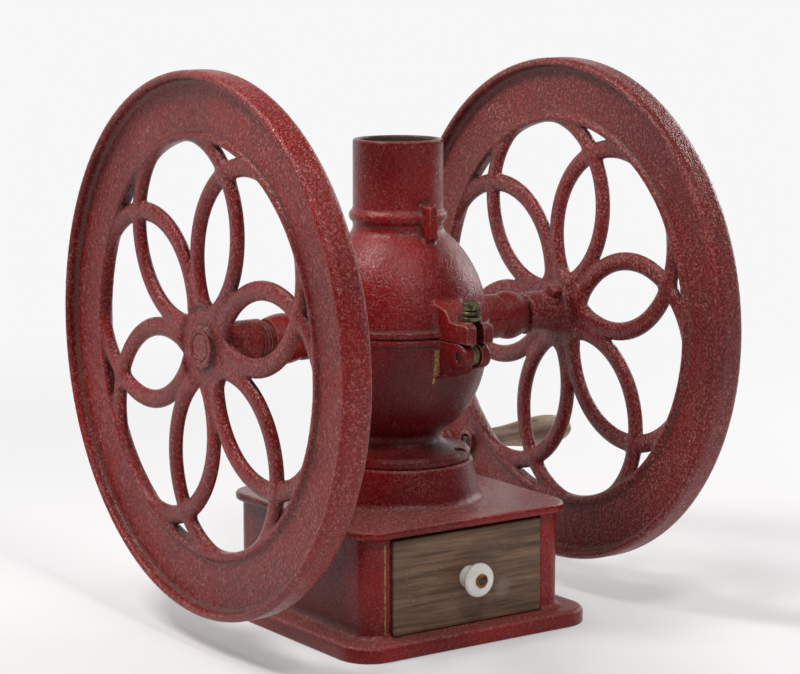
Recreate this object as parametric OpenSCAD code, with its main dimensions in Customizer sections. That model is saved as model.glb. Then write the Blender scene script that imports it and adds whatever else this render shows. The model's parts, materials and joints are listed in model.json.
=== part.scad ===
// Double-wheel counter coffee mill. Millimetres. X runs along the axle,
// the drawer opens towards -Y and Z is up. The origin is the middle of
// the base plate's underside.

/* [Wheels] */
// Outer diameter of each flywheel
wheel_d = 432; // [400:2:470]
// Radial depth of the rim, from tread to inner wall
rim_depth = 54; // [46:1:60]
// Width of the rim's outer band
rim_w = 26; // [22:1:32]
// Radial thickness of the rim's outer band
rim_band = 7; // [6:0.5:9]
// Thickness of the flat web of the rim
rim_web_t = 7; // [6:0.5:9]
// Thickness of the raised bead at the inner wall of the rim
inner_bead_t = 10.4; // [9.4:0.2:13]
// Middle radius of each of the interlaced spoke rings
ring_r = 76.5; // [73:0.5:79]
// How far a ring's middle line passes into the rim
ring_bite = 9.5; // [7:0.5:12]
// Width of a spoke bar seen from the side
bar_w = 14.8; // [11:0.2:17]
// Thickness of a spoke bar along the axle
bar_t = 9; // [7:0.5:12]
// Angle of the first ring, from the drawer side upwards
ring_phase = 46.6; // [0:0.2:60]
// How far the right wheel's rings are turned against the left wheel's
right_turn = -2.4; // [-30:0.2:30]
// Outer diameter of the wheel hubs
hub_d = 36; // [33:0.5:40]
// Length of the left hub from its inner end to the middle of the wheel
hub_len_left = 50.7; // [44:0.1:60]
// Length of the right hub from its inner end to the middle of the wheel
hub_len_right = 44.5; // [40:0.5:60]
// How far a hub passes the middle of its wheel on the outside
hub_face = 5.4; // [4:0.1:8]
// Depth of the round dish around a hub's outer end
dish_depth = 1.3; // [0.5:0.1:2]
// Width of that dish around the hub
dish_w = 12; // [8:1:15]
// Gap between the right collar and the right hub
hub_gap_right = 4.6; // [1:0.1:10]

/* [Axle and bearings] */
// Height of the axle above the surface that the mill stands on
axle_h = 243; // [236:1:262]
// Diameter of the axle
axle_d = 22.2; // [20:0.2:24]
// Outer diameter of the bearing bush and of the threaded sleeve
bush_d = 30.4; // [29:0.2:32]
// Distance of the bushes' inner ends from the middle
bush_in = 60; // [59:0.5:62]
// How far the bearing bores run past the bushes' inner ends
bore_run = 8; // [6:0.5:12]
// Distance of the left bearing snout's end from the middle
snout_left = 97; // [94:0.5:108]
// Distance of the right bearing snout's end from the middle
snout_right = 100.5; // [94:0.5:108]
// Diameter of the bearing snouts
snout_d = 37.6; // [36:0.2:41]
// Width of the ring outside the right snout
collar_w = 22.5; // [15:0.5:25]
// Width of the lock ring outside the left snout
lock_ring_w = 30; // [24:0.5:33]
// Diameter of the collars at their middle
collar_d = 41; // [39:0.5:46]
// Diameter of the collars at their ends
collar_end_d = 35; // [33:0.5:37]
// Length of thread between the lock ring and the left hub
thread_len = 5; // [3:0.1:12]
// How far the left hub's inner end is cut back at its front
hub_cut = 9; // [4:0.5:12]
// Number of thread grooves
thread_n = 4; // [2:1:6]
// Depth of a thread groove
thread_depth = 1.2; // [0.6:0.1:1.6]

/* [Body shells] */
// Radius of the bulb at the height of the axle
bulb_r = 74.3; // [72:0.5:80]
// Height of the upper dome's ellipse above the axle
dome_h = 92; // [86:1:98]
// Depth of the lower bowl's curve below the axle
bowl_h = 92; // [89:1:96]
// Exponent of the lower bowl's curve, 2 is an ellipse
bowl_n = 2.4; // [2:0.1:2.8]
// Wall thickness of the cast shells
shell_t = 6; // [4:0.5:8]
// Height of the raised lip along each side of the seam
lip_h = 6; // [4:0.5:9]
// How far the lip stands proud of the bulb
lip_proud = 1.3; // [0.6:0.1:2]
// Outer radius of the neck
neck_r = 37; // [35:0.5:40]
// Wall thickness of the neck
neck_wall = 5; // [3.5:0.5:7]
// Height of the neck's top above the axle
neck_top = 155; // [140:1:170]
// Height of the neck bead's middle above the axle
bead_up = 92.5; // [90:0.5:98]
// Height of the neck bead
bead_h = 10; // [7:0.5:12]
// How far the neck bead stands proud of the neck
bead_proud = 3.3; // [2:0.1:5]
// Width of the upright rib on the front of the neck
rib_w = 7; // [6:0.5:12]
// Distance of the rib's front from the middle
rib_front = 51; // [48:0.5:54]
// Distance of the rib's foot above the axle
rib_foot = 78; // [74:1:84]
// How far the rib's underside slopes down to the dome
rib_slope = 7; // [4:0.5:10]
// Distance of the rib's top above the axle
rib_top = 103; // [100:1:110]
// Radius of the waist below the bowl
waist_r = 34.4; // [32:0.2:37]
// Radius of the pedestal flange
flange_r = 60; // [58:0.5:62]
// Height of the joint between the pedestal flange and the drum
drum_top = 134; // [130:1:138]
// Thickness of the pedestal flange
flange_t = 9; // [7:0.5:11]
// Height of the flare from the flange up to the waist
flare_h = 12; // [9:0.5:14]
// Thickness of the wall across the bulb that carries the fixed burr
web_t = 10; // [7:0.5:12]
// Distance of that wall from the middle
web_x = 8; // [5:0.5:10]
// How far that wall runs below the burr
wall_below = 8; // [5:0.5:14]
// Room between the feed screw and the floor under it
trough_gap = 4; // [2:0.5:6]
// Height of the floor's upper edges below the axle
trough_edge = 2; // [1:0.5:5]
// Thickness of the floor and the roof that lead the beans to the screw
chute_t = 7; // [5:0.5:9]

/* [Front clamp] */
// Width of the clamp lugs
lug_w = 26; // [24:0.5:30]
// Distance of the upper lug's front from the middle
lug_front = 114; // [112:0.5:118]
// Distance of the clamp bolt's axis from the middle
bolt_y = 101.6; // [100:0.2:103]
// Height of the upper lug above the seam, without its seat
lug_h = 15.4; // [13:0.2:18]
// Height of the round seat under the washer
seat_h = 2; // [1.6:0.1:3]
// Radius of the round seat
seat_r = 8.6; // [8:0.1:9]
// Diameter of the clamp bolt
clamp_bolt_d = 6; // [5:0.2:6.4]
// Width of the slots that the bolt swings through
slot_w = 7.2; // [7:0.1:8]
// Radius of the lower lug's barrel
barrel_r = 10.2; // [9.6:0.1:11]
// Radius of the clamp bolt's eye
eye_r = 7.6; // [7:0.1:8.4]
// Diameter of the pin that the bolt swings on
clamp_pin_d = 6.4; // [5:0.2:7]
// Length of bolt above the washer
bolt_up = 13; // [12.5:0.5:18]
// Diameter of the clamp washer
washer_d = 16.8; // [15:0.2:18]
// Thickness of the clamp washer
washer_t = 3; // [2:0.2:4]
// Width of the clamp nut across its flats
nut_af = 13; // [11:0.5:14]
// Height of the clamp nut's six-sided part
nut_h = 7; // [5:0.5:8]
// Height of the clamp nut's round foot
nut_foot_h = 5; // [4:0.2:6]

/* [Rear hinge] */
// Distance of the hinge pin from the middle
hinge_y = 88; // [86.5:0.5:94]
// Radius of the hinge knuckles
knuckle_r = 8.5; // [7.5:0.5:9.5]
// Width of the middle knuckle
knuckle_w = 16; // [12:1:24]
// Width of each outer knuckle
ear_w = 9; // [7:0.5:12]
// Diameter of the hinge pin
hinge_pin_d = 7; // [5:0.5:8]

/* [Grinding parts] */
// Diameter of the grinding burrs
burr_d = 90; // [80:2:94]
// Thickness of each burr plate
burr_t = 10; // [8:0.5:11]
// Gap between the two burrs
burr_gap = 0.8; // [0.4:0.1:1.5]
// Diameter of the opening through the fixed burr and its wall
burr_eye_d = 50; // [48:1:54]
// Depth of the cutting grooves
groove_depth = 2; // [1:0.5:3]
// Width of a cutting groove
groove_w = 3; // [2:0.5:4]
// Number of cutting grooves
groove_n = 18; // [8:2:24]
// Diameter of the rotating burr's hub
burr_hub_d = 38; // [36:1:42]
// Diameter of the cross pin that drives the rotating burr
drive_pin_d = 5; // [4:0.5:6]
// Number of screws that hold the fixed burr
burr_screw_n = 3; // [2:1:4]
// Diameter of the fixed burr's screws
burr_screw_d = 5; // [4:0.5:6]
// Outer diameter of the feed screw
feed_d = 46; // [42:0.5:47]
// Core diameter of the feed screw
feed_core_d = 29; // [27:0.5:32]
// Length of the feed screw
feed_len = 66; // [50:1:67]
// Thickness of the thrust washer beside the rotating burr
thrust_t = 2; // [1:0.5:3]

/* [Base] */
// Width and depth of the base plate
base_w = 236; // [230:2:260]
// Thickness of the base plate
base_t = 13; // [10:0.5:16]
// Corner radius of the base plate
base_corner = 28; // [20:1:36]
// Width and depth of the box above the base plate
box_w = 195; // [190:1:204]
// Corner radius of the box
box_corner = 14; // [10:1:20]
// Wall thickness of the box
box_wall = 6; // [5:0.5:7]
// Height of the box's top edge
box_top = 94; // [90:1:98]
// Width and depth of the top plate
top_w = 210; // [206:2:224]
// Thickness of the top plate
top_t = 7; // [6:0.5:9]
// Corner radius of the top plate
top_corner = 25; // [18:1:32]
// Radius of the drum at its upper edge
drum_r = 62; // [60:0.5:64]
// Radius of the drum just above its foot fillet
drum_low_r = 67; // [64:0.5:70]
// Radius of the fillet at the drum's foot
drum_fillet = 10; // [6:0.5:13]
// Wall thickness of the drum
drum_wall = 7; // [5:0.5:9]
// Radius of the hole that the ground coffee falls through
drop_r = 27; // [22:0.5:29]

/* [Drawer] */
// Width of the drawer's front
front_w = 146.4; // [140:0.2:150]
// Height of the drawer's front
front_h = 77.7; // [72:0.1:79]
// Thickness of the drawer's front
front_t = 16; // [12:0.5:18]
// How far the drawer's front stands proud of the box
front_proud = 2; // [0:0.5:4]
// Gap between the drawer and the box around it
drawer_gap = 0.8; // [0.5:0.1:1.5]
// Thickness of the drawer's sides and back
side_t = 9; // [7:0.5:12]
// Thickness of the drawer's bottom
bottom_t = 5; // [4:0.5:7]
// Height of the drawer's sides
side_h = 66; // [50:1:70]
// Length of the drawer behind its front
drawer_len = 162; // [140:1:166]
// Diameter of the porcelain knob
knob_d = 28; // [24:0.5:32]
// Length of the porcelain knob
knob_len = 17.5; // [14:0.5:22]
// Diameter of the knob's foot
knob_foot_d = 19; // [16:0.5:21]
// Diameter of the knob's screw
knob_screw_d = 4; // [3:0.2:4.6]
// Diameter of the brass washer under the knob's screw
knob_washer_d = 11; // [10:0.5:13]
// Thickness of that washer
knob_washer_t = 0.8; // [0.5:0.1:1.5]
// Diameter of the drawer's nails
nail_d = 2; // [1.4:0.2:3]

/* [Crank handle] */
// Distance of the handle's axis from the axle
handle_arm = 188; // [184:0.5:192]
// Direction of the handle from the axle, 0 is forwards and 90 is up
handle_at = 226.6; // [0:0.1:360]
// Length of the wooden handle
handle_len = 95; // [80:1:120]
// Largest diameter of the wooden handle
handle_d = 28.5; // [27:0.5:34]
// Diameter of the wooden handle at the wheel
handle_neck_d = 17.5; // [16:0.5:20]
// Diameter of the handle's pin
handle_pin_d = 7; // [6:0.5:7.5]
// Thickness of the handle's washer
handle_washer_t = 2; // [1.5:0.5:3]
// Diameter of the handle's washer
handle_washer_d = 20; // [18:0.5:24]
// Height of the round pad on the rim's web under the handle's washer
handle_pad = 9.5; // [6:0.5:14]
// Outer radius of the ring around the handle pin's nut
nut_ring_r = 10.6; // [10.2:0.1:12]
// Height of that ring above the web
nut_ring_h = 5; // [4.5:0.5:7]
// Width of the handle pin's square nut
handle_nut_w = 9; // [8:0.2:11]
// Thickness of that nut
handle_nut_t = 4; // [3:0.5:4.5]
// Depth of the pin's head in the end of the handle
handle_head_in = 6; // [4:0.5:10]
// Thickness of the pin's head
handle_head_t = 3; // [2:0.5:4]

/* [Fasteners] */
// Width of a set screw's square head
set_head = 10.5; // [8:0.5:12]
// Diameter of a set screw
set_d = 7; // [6:0.5:8]
// Diameter of a flange screw's round head
flange_head = 8.4; // [7.4:0.2:9]
// Thickness of a flange screw's head
flange_head_h = 3; // [2:0.5:4]
// Depth of a flange screw's head below the flange's top
flange_head_in = 1.5; // [0.5:0.5:3]
// Distance of the flange screws from the flange's edge
flange_screw_edge = 7; // [6.5:0.5:9]
// Diameter of a flange screw
flange_screw_d = 5.5; // [4.5:0.5:6.5]
// Number of flange screws
flange_screw_n = 3; // [3:1:5]
// Angle of the first flange screw around the body
flange_screw_at = -53; // [-70:1:-20]
// Depth of a flange screw in the drum
flange_screw_in = 14; // [8:1:18]
// Diameter of a top plate screw
top_screw_d = 6; // [5:0.5:7]
// Radius of a top plate screw's head
screw_head_r = 5.5; // [4.5:0.1:6]
// Thickness of a top plate screw's head
screw_head_t = 4; // [2:0.5:5]
// Thickness of base plate over a top plate screw's head
screw_seat = 5; // [3:0.5:6]
// Radius of the screw bosses in the corners of the box
boss_r = 8; // [7:0.5:9]
// Angle of the left set screw about the axle, 0 is up
left_screw_turn = -110; // [-180:1:180]
// Angle of the right set screw about the axle, 0 is up
right_screw_turn = 38; // [-180:1:180]
// Distance of the left set screw from the middle of its wheel
set_x_left = 22.5; // [18:0.5:40]
// Distance of the right set screw from the middle of its wheel
set_x_right = 21; // [12:0.5:34]
// Radial thickness of a set screw's boss around the screw
set_boss = 4.5; // [3:0.5:6]
// Height of a set screw's head
set_head_h = 8; // [5:0.5:10]

/* [Fits] */
// Radial running clearance of a shaft in its bore
run_fit = 0.05; // [0.02:0.01:0.1]
// Clearance between parts that lie beside each other
side_gap = 0.4; // [0.3:0.1:0.6]
// Clearance under the clamp washer at rest
washer_gap = 0.3; // [0.2:0.05:0.4]

/* [Hidden] */
$fn = 64;

wheel_r = wheel_d / 2;
rim_in_r = wheel_r - rim_depth;
ring_centre = rim_in_r + ring_bite - ring_r;
ring_count = 6;
hub_web = 16;
set_boss_up = 3;
axle_r = axle_d / 2;
bush_r = bush_d / 2;
bore_r = bush_r + run_fit;
snout_r = snout_d / 2;
left_collar_x = snout_left + side_gap + lock_ring_w;
right_collar_x = snout_right + side_gap;
left_hub_in = left_collar_x + thread_len;
sleeve_out = left_hub_in + hub_cut;
right_hub_in = right_collar_x + collar_w + hub_gap_right;
left_x = -left_hub_in - hub_len_left;
right_x = right_hub_in + hub_len_right;
seam_groove = 0.8;
neck_foot = dome_h * sqrt(1 - pow(neck_r / bulb_r, 2));
waist_down = bowl_h * pow(1 - pow(waist_r / bulb_r, bowl_n), 1 / bowl_n);
flange_top = drum_top + flange_t;
flare_top = flange_top + flare_h;
pivot_z = -side_gap - barrel_r;
seat_z = lug_h + seat_h;
washer_z = seat_z + washer_gap;
nut_z = washer_z + washer_t + run_fit;
bolt_end = washer_z + washer_t + bolt_up;
burr_x = web_x + web_t;
rotor_x = burr_x + burr_t + burr_gap;
rotor_hub_end = bush_in - thrust_t - side_gap;
drive_pin_x = (rotor_x + burr_t + rotor_hub_end) / 2;
feed_end = burr_x + burr_t - groove_depth;
handle_seat = right_x + rim_web_t / 2 + handle_pad;
handle_in = handle_seat + handle_washer_t + side_gap;
handle_head_r = handle_pin_d / 2 + 1.3;
handle_head_x = handle_in + handle_len - handle_head_in;
handle_nut_in = right_x - rim_web_t / 2;
handle_bolt_in = handle_nut_in - handle_nut_t - side_gap;
handle_y = -handle_arm * cos(handle_at);
handle_z = axle_h + handle_arm * sin(handle_at);
front_y = -box_w / 2 - front_proud;
back_y = front_y + front_t + drawer_len;
drawer_z = base_t + drawer_gap / 2;
knob_z = drawer_z + front_h / 2;
opening_w = front_w + 2 * drawer_gap;
side_x = front_w / 2 - 4;
side_y = front_y + front_t;
drawer_inner = 2 * (side_x - side_t);
flange_screw_r = flange_r - flange_screw_edge;
flange_head_z = flange_top - axle_h - flange_head_in - flange_head_h;
shell_root = bulb_r - 2 * shell_t - 2;
base_low = drum_top - axle_h;
cut = 1;

// Points of a quarter ellipse-like curve with exponent n, from angle a0 to a1
function curve(a, b, n, a0, a1, steps) = [
    for (i = [0:steps])
        let (t = a0 + (a1 - a0) * i / steps)
        [a * pow(cos(t), 2 / n), b * pow(sin(t), 2 / n)]
];

// Angle on that curve at which its height is h
function curve_angle(b, n, h) = asin(pow(h / b, n / 2));

module along_x(x0 = 0) {
    translate([x0, 0, 0]) rotate([0, 90, 0]) children();
}

module rod_x(x0, x1, r) {
    along_x(x0) cylinder(r = r, h = x1 - x0);
}

module rounded_plate(w, t, corner) {
    reach = w / 2 - corner;
    linear_extrude(t) union() {
        square([w - 2 * corner, w], center = true);
        square([w, w - 2 * corner], center = true);
        for (sx = [-1, 1], sy = [-1, 1])
            translate([sx * reach, sy * reach]) circle(r = corner);
    }
}

// Frame, plates and box

module base_box() {
    edge = 3;
    color("firebrick") difference() {
        union() {
            rounded_plate(base_w, base_t - edge, base_corner);
            translate([0, 0, base_t - edge])
                rounded_plate(base_w - 2 * edge, edge, base_corner - edge);
            translate([0, 0, base_t]) difference() {
                rounded_plate(box_w, box_top - base_t, box_corner);
                translate([0, 0, -1])
                    rounded_plate(box_w - 2 * box_wall, box_top, box_corner - box_wall);
            }
            for (sx = [-1, 1], sy = [-1, 1])
                top_screw_place(sx, sy) translate([0, 0, base_t])
                    cylinder(r = boss_r, h = box_top - base_t);
        }
        translate([-opening_w / 2, -box_w / 2 - 1, base_t])
            cube([opening_w, box_w / 2, box_top]);
        for (sx = [-1, 1], sy = [-1, 1])
            top_screw_place(sx, sy) translate([0, 0, -1])
                cylinder(r = top_screw_d / 2 + side_gap, h = box_top + 2);
        for (sx = [-1, 1], sy = [-1, 1])
            top_screw_place(sx, sy) translate([0, 0, -1])
                cylinder(r = screw_head_r + side_gap, h = base_t - screw_seat + 1);
    }
}

module top_screw_place(sx, sy) {
    reach = box_w / 2 - box_wall - boss_r + 1.2;
    translate([sx * reach, sy * reach, 0]) children();
}

module top_plate() {
    edge = 2;
    color("indianred") difference() {
        union() {
            translate([0, 0, box_top]) rounded_plate(top_w - 2 * edge, edge, top_corner - edge);
            translate([0, 0, box_top + edge])
                rounded_plate(top_w, top_t - 2 * edge, top_corner);
            translate([0, 0, box_top + top_t - edge])
                rounded_plate(top_w - 2 * edge, edge, top_corner - edge);
            rotate_extrude() drum_outline();
        }
        rotate_extrude() drum_hollow();
        for (sx = [-1, 1], sy = [-1, 1])
            top_screw_place(sx, sy) translate([0, 0, box_top - 1])
                cylinder(r = top_screw_d / 2, h = top_t - 1);
        for (i = [0:flange_screw_n - 1])
            flange_screw_place(i) translate([0, 0, drum_top - flange_screw_in])
                cylinder(r = flange_screw_d / 2, h = flange_screw_in + 1);
    }
}

// Half section of the drum with its foot fillet
module drum_outline() {
    foot = box_top + top_t;
    steps = 6;
    fillet = [
        for (i = [0:steps])
            let (t = 270 - 90 * i / steps)
            [drum_low_r + drum_fillet + drum_fillet * cos(t), foot + drum_fillet + drum_fillet * sin(t)]
    ];
    polygon(concat(
        [[0, foot - 1], [drum_low_r + drum_fillet, foot - 1]],
        fillet,
        [[drum_r, drum_top - 1.5], [drum_r - 1.5, drum_top], [0, drum_top]]
    ));
}

module drum_hollow() {
    roof = 10;
    low_r = drum_low_r - drum_wall;
    high_r = drum_r - drum_wall - 9;
    polygon([
        [0, box_top - 1], [low_r, box_top - 1], [low_r, box_top + top_t],
        [high_r, drum_top - roof - 8], [drop_r, drum_top - roof], [drop_r, drum_top + 1],
        [0, drum_top + 1]
    ]);
}

module top_plate_screws() {
    color("dimgray") for (sx = [-1, 1], sy = [-1, 1])
        top_screw_place(sx, sy) union() {
            translate([0, 0, base_t - screw_seat - screw_head_t])
                cylinder(r = screw_head_r, h = screw_head_t);
            translate([0, 0, base_t - screw_seat - 0.5])
                cylinder(r = top_screw_d / 2, h = box_top + top_t - 4 - base_t + screw_seat);
        }
}

// Body shells

module shell_axis() {
    translate([0, 0, axle_h]) children();
}

// Half section of the bowl, radius against height below the axle
module bowl_outline() {
    a1 = curve_angle(bowl_h, bowl_n, waist_down);
    bowl = [for (p = curve(bulb_r, bowl_h, bowl_n, 0, a1, 14)) [p[0], -p[1]]];
    polygon(concat(bowl, [[0, -waist_down], [0, 0]]));
}

// Half section of the waist, its flare and the flange that stands on the drum
module pedestal_outline() {
    edge = 3;
    foot_edge = 1.5;
    top_r = flange_r - edge;
    waist_top = max(-waist_down, flare_top - axle_h);
    steps = 8;
    flare = [
        for (i = [0:steps])
            let (t = 90 * i / steps)
            [top_r - (top_r - waist_r) * sin(t), flare_top - axle_h - flare_h * cos(t)]
    ];
    polygon(concat(
        [[0, waist_top + cut], [waist_r, waist_top]],
        [for (i = [steps:-1:0]) flare[i]],
        [[flange_r, base_low + flange_t - edge], [flange_r, base_low + foot_edge]],
        [[flange_r - foot_edge, base_low], [0, base_low]]
    ));
}

// The bowl down to its foot, and no lower than the drum
module lower_solid() {
    intersection() {
        rotate_extrude() bowl_outline();
        translate([0, 0, base_low]) cylinder(r = bulb_r + cut, h = -base_low + cut);
    }
}

// Inside of the bowl
module bowl_hollow() {
    deep = bowl_h - shell_t;
    wide = bulb_r - shell_t;
    pipe = waist_r - shell_t;
    stop = deep * pow(1 - pow(pipe / wide, bowl_n), 1 / bowl_n);
    a1 = curve_angle(deep, bowl_n, stop);
    bowl = [for (p = curve(wide, deep, bowl_n, 0, a1, 12)) [p[0], -p[1]]];
    polygon(concat([[0, cut], [wide, cut]], bowl, [[0, -stop]]));
}

// Straight way for the grounds, from the bowl down into the drum
module drop_pipe() {
    translate([0, 0, base_low - cut]) cylinder(r = drop_r, h = -base_low - bowl_h / 2);
}

// The waist and the flange under the bowl, which meet it in one plane
module pedestal() {
    color("firebrick") shell_axis() difference() {
        rotate_extrude() pedestal_outline();
        rotate_extrude() bowl_outline();
        drop_pipe();
        flange_holes();
    }
}

module upper_outline() {
    a1 = curve_angle(dome_h, 2, neck_foot);
    dome = curve(bulb_r, dome_h, 2, 0, a1, 14);
    round_r = 2.5;
    bevel = 0.8;
    polygon(concat(
        [[0, 0]],
        dome,
        [[neck_r, neck_top - round_r], [neck_r - bevel, neck_top - bevel]],
        [[neck_r - round_r, neck_top], [0, neck_top]]
    ));
}

module upper_hollow() {
    wide = bulb_r - shell_t;
    high = dome_h - shell_t;
    throat = neck_r - neck_wall;
    stop = high * sqrt(1 - pow(throat / wide, 2));
    a1 = curve_angle(high, 2, stop);
    dome = curve(wide, high, 2, 0, a1, 12);
    polygon(concat([[0, -1], [wide, -1]], dome, [[throat, neck_top + 1], [0, neck_top + 1]]));
}

module neck_bead() {
    steps = 8;
    outer = [
        for (i = [0:steps])
            let (t = -90 + 180 * i / steps)
            [neck_r - 1 + (bead_proud + 1) * cos(t), bead_up + bead_h / 2 * sin(t)]
    ];
    root = neck_r - 3;
    rotate_extrude()
        polygon(concat([[root, bead_up - bead_h / 2]], outer, [[root, bead_up + bead_h / 2]]));
}

module neck_rib() {
    translate([-rib_w / 2, 0, 0]) rotate([90, 0, 90]) linear_extrude(rib_w) polygon([
        [0, rib_top], [-rib_front, rib_top], [-rib_front, rib_foot],
        [-rib_front + rib_slope, rib_foot - rib_slope], [0, rib_foot - rib_slope]
    ]);
}

// The slab of a half bulb that a lip takes, above or below the seam
module lip(up) {
    low = up ? 0 : -lip_h;
    translate([0, 0, low]) cylinder(r = bulb_r + lip_proud, h = lip_h);
}

module seam_cut(up) {
    r = bulb_r + lip_proud;
    rotate_extrude() polygon([
        [r - seam_groove, 0], [r + 1, 0], [r + 1, up ? seam_groove : -seam_groove],
        [r, up ? seam_groove : -seam_groove]
    ]);
}

module snouts(up) {
    intersection() {
        rod_x(-snout_left, snout_right, snout_r);
        translate([-snout_left - 1, -snout_r - 1, up ? 0 : -snout_r - 1])
            cube([snout_left + snout_right + 2, 2 * snout_r + 2, snout_r + 1]);
    }
}

// Wall across the dome that ends in a ramp over the burrs
module upper_wall() {
    foot = burr_d / 2 + 5;
    run = 40;
    rise = 28;
    wall = [
        [web_x, 0], [web_x, foot], [web_x + run, foot + rise], [web_x + run, foot + rise - chute_t],
        [burr_x, foot - 2], [burr_x, 0]
    ];
    intersection() {
        rotate_extrude() upper_hollow();
        translate([0, bulb_r, 0]) rotate([90, 0, 0]) linear_extrude(2 * bulb_r) polygon(wall);
    }
}

// Wall across the bowl, with a trough under the feed screw
module lower_wall() {
    flat = feed_d / 2;
    deep = feed_d / 2 + trough_gap;
    edge = bulb_r;
    trough = [
        [-edge, -trough_edge], [-flat, -deep], [flat, -deep], [edge, -trough_edge],
        [edge, -trough_edge - chute_t], [flat, -deep - chute_t],
        [-flat, -deep - chute_t], [-edge, -trough_edge - chute_t]
    ];
    intersection() {
        rotate_extrude() bowl_hollow();
        union() {
            translate([web_x, -bulb_r, -burr_d / 2 - wall_below])
                cube([web_t, 2 * bulb_r, burr_d / 2 + wall_below]);
            translate([-bulb_r, 0, 0]) rotate([90, 0, 90])
                linear_extrude(bulb_r + web_x + 1) polygon(trough);
        }
    }
}

module lower_shell() {
    color("firebrick") shell_axis() difference() {
        union() {
            lower_solid();
            lip(false);
            snouts(false);
            lower_lug();
            rear_ears();
        }
        rotate_extrude() bowl_hollow();
        drop_pipe();
        seam_cut(false);
        bearing_bores();
        clamp_slot_low();
        translate([0, -bolt_y, pivot_z]) rod_x(-lug_w, lug_w, clamp_pin_d / 2);
        translate([0, hinge_y, 0]) rod_x(-2 * knuckle_w, 2 * knuckle_w, hinge_pin_d / 2);
        translate([0, hinge_y, 0])
            rod_x(-knuckle_w / 2 - side_gap, knuckle_w / 2 + side_gap, knuckle_r + side_gap);
        flange_holes();
    }
}

// Dividing wall and trough inside the bowl, which carry the fixed burr
module bowl_wall() {
    color("firebrick") shell_axis() difference() {
        lower_wall();
        rod_x(web_x - 1, burr_x + 1, burr_eye_d / 2);
        burr_screw_holes();
    }
}

module bearing_bores() {
    rod_x(-snout_left - cut, -bush_in + bore_run, bore_r);
    rod_x(bush_in - bore_run, snout_right + cut, bore_r);
}

module burr_screw_holes() {
    for (i = [0:burr_screw_n - 1])
        burr_screw_place(i) rod_x(web_x - 1, burr_x + burr_t + 1, burr_screw_d / 2);
}

module burr_screw_place(i) {
    rotate([i * 360 / burr_screw_n + 30, 0, 0])
        translate([0, (burr_d + burr_eye_d) / 4, 0]) children();
}

// Lug below the seam, with a barrel for the clamp pin
module lower_lug() {
    top = -side_gap;
    low = pivot_z - barrel_r;
    seam_end = -bulb_r - 2;
    belly = [[-bolt_y + 7, low], [-bolt_y + 18, low - 8], [-shell_root, low - 12]];
    translate([-lug_w / 2, 0, 0]) rotate([90, 0, 90]) linear_extrude(lug_w) polygon(concat(
        [[-shell_root, 0], [seam_end, 0], [seam_end - 2, top], [-bolt_y, top], [-bolt_y, low]],
        belly
    ));
    translate([0, -bolt_y, pivot_z]) rod_x(-lug_w / 2, lug_w / 2, barrel_r);
}

module clamp_slot_low() {
    back = -bolt_y + eye_r + 1.4;
    translate([-slot_w / 2, -lug_front - 2, pivot_z - barrel_r - 8])
        cube([slot_w, back + lug_front + 2, 3 * barrel_r]);
}

module rear_ears() {
    ear = knuckle_w / 2 + side_gap;
    for (s = [-1, 1])
        translate([s > 0 ? ear : -ear - ear_w, 0, 0]) {
            translate([0, hinge_y, 0]) rod_x(0, ear_w, knuckle_r);
            rotate([90, 0, 90]) linear_extrude(ear_w) polygon([
                [bulb_r - 12, 0], [hinge_y, 0], [hinge_y, -knuckle_r], [bulb_r - 9, -knuckle_r - 12]
            ]);
        }
}

module flange_screw_place(i) {
    rotate([0, 0, flange_screw_at + i * 360 / flange_screw_n])
        translate([flange_screw_r, 0, 0]) children();
}

module flange_holes() {
    for (i = [0:flange_screw_n - 1])
        flange_screw_place(i) {
            translate([0, 0, base_low - cut])
                cylinder(r = flange_screw_d / 2 + side_gap, h = flare_h + flange_t);
            translate([0, 0, flange_head_z])
                cylinder(r = flange_head / 2 + side_gap, h = flare_h + flange_t);
        }
}

module upper_shell() {
    color("brown") shell_axis() difference() {
        union() {
            difference() {
                union() {
                    rotate_extrude() upper_outline();
                    lip(true);
                    neck_bead();
                    snouts(true);
                    upper_lug();
                    neck_rib();
                }
                rotate_extrude() upper_hollow();
            }
            upper_wall();
            rear_knuckle();
        }
        seam_cut(true);
        bearing_bores();
        rod_x(web_x - 1, burr_x + 1, burr_eye_d / 2);
        burr_screw_holes();
        clamp_slot_up();
        translate([0, hinge_y, 0]) rod_x(-knuckle_w, knuckle_w, hinge_pin_d / 2 + run_fit);
        for (s = [-1, 1])
            translate([s > 0 ? knuckle_w / 2 : -knuckle_w / 2 - ear_w - 1, hinge_y, 0])
                rod_x(0, ear_w + 1, knuckle_r + side_gap);
    }
}

// Lug above the seam, with a round seat for the clamp washer
module upper_lug() {
    nose = 2.5;
    back = -bolt_y + seat_r;
    top = [[back + 1.5, lug_h], [back + 9, lug_h + 9], [-shell_root, lug_h + 16]];
    translate([-lug_w / 2, 0, 0]) rotate([90, 0, 90]) linear_extrude(lug_w) polygon(concat(
        [[-shell_root, 0], [-lug_front, 0], [-lug_front, lug_h - nose], [-lug_front + nose, lug_h]],
        top
    ));
    translate([0, -bolt_y, 0]) cylinder(r = seat_r, h = seat_z);
}

module clamp_slot_up() {
    translate([0, -bolt_y, -1]) cylinder(r = slot_w / 2, h = seat_z + 2);
    translate([-slot_w / 2, -lug_front - 2, -1]) cube([slot_w, lug_front + 2 - bolt_y, seat_z + 2]);
}

module rear_knuckle() {
    translate([0, hinge_y, 0]) rod_x(-knuckle_w / 2, knuckle_w / 2, knuckle_r);
    translate([-knuckle_w / 2, 0, 0]) rotate([90, 0, 90]) linear_extrude(knuckle_w) polygon([
        [bulb_r - 12, 0], [hinge_y, 0], [hinge_y, knuckle_r], [bulb_r - 10, knuckle_r + 10]
    ]);
}

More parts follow.
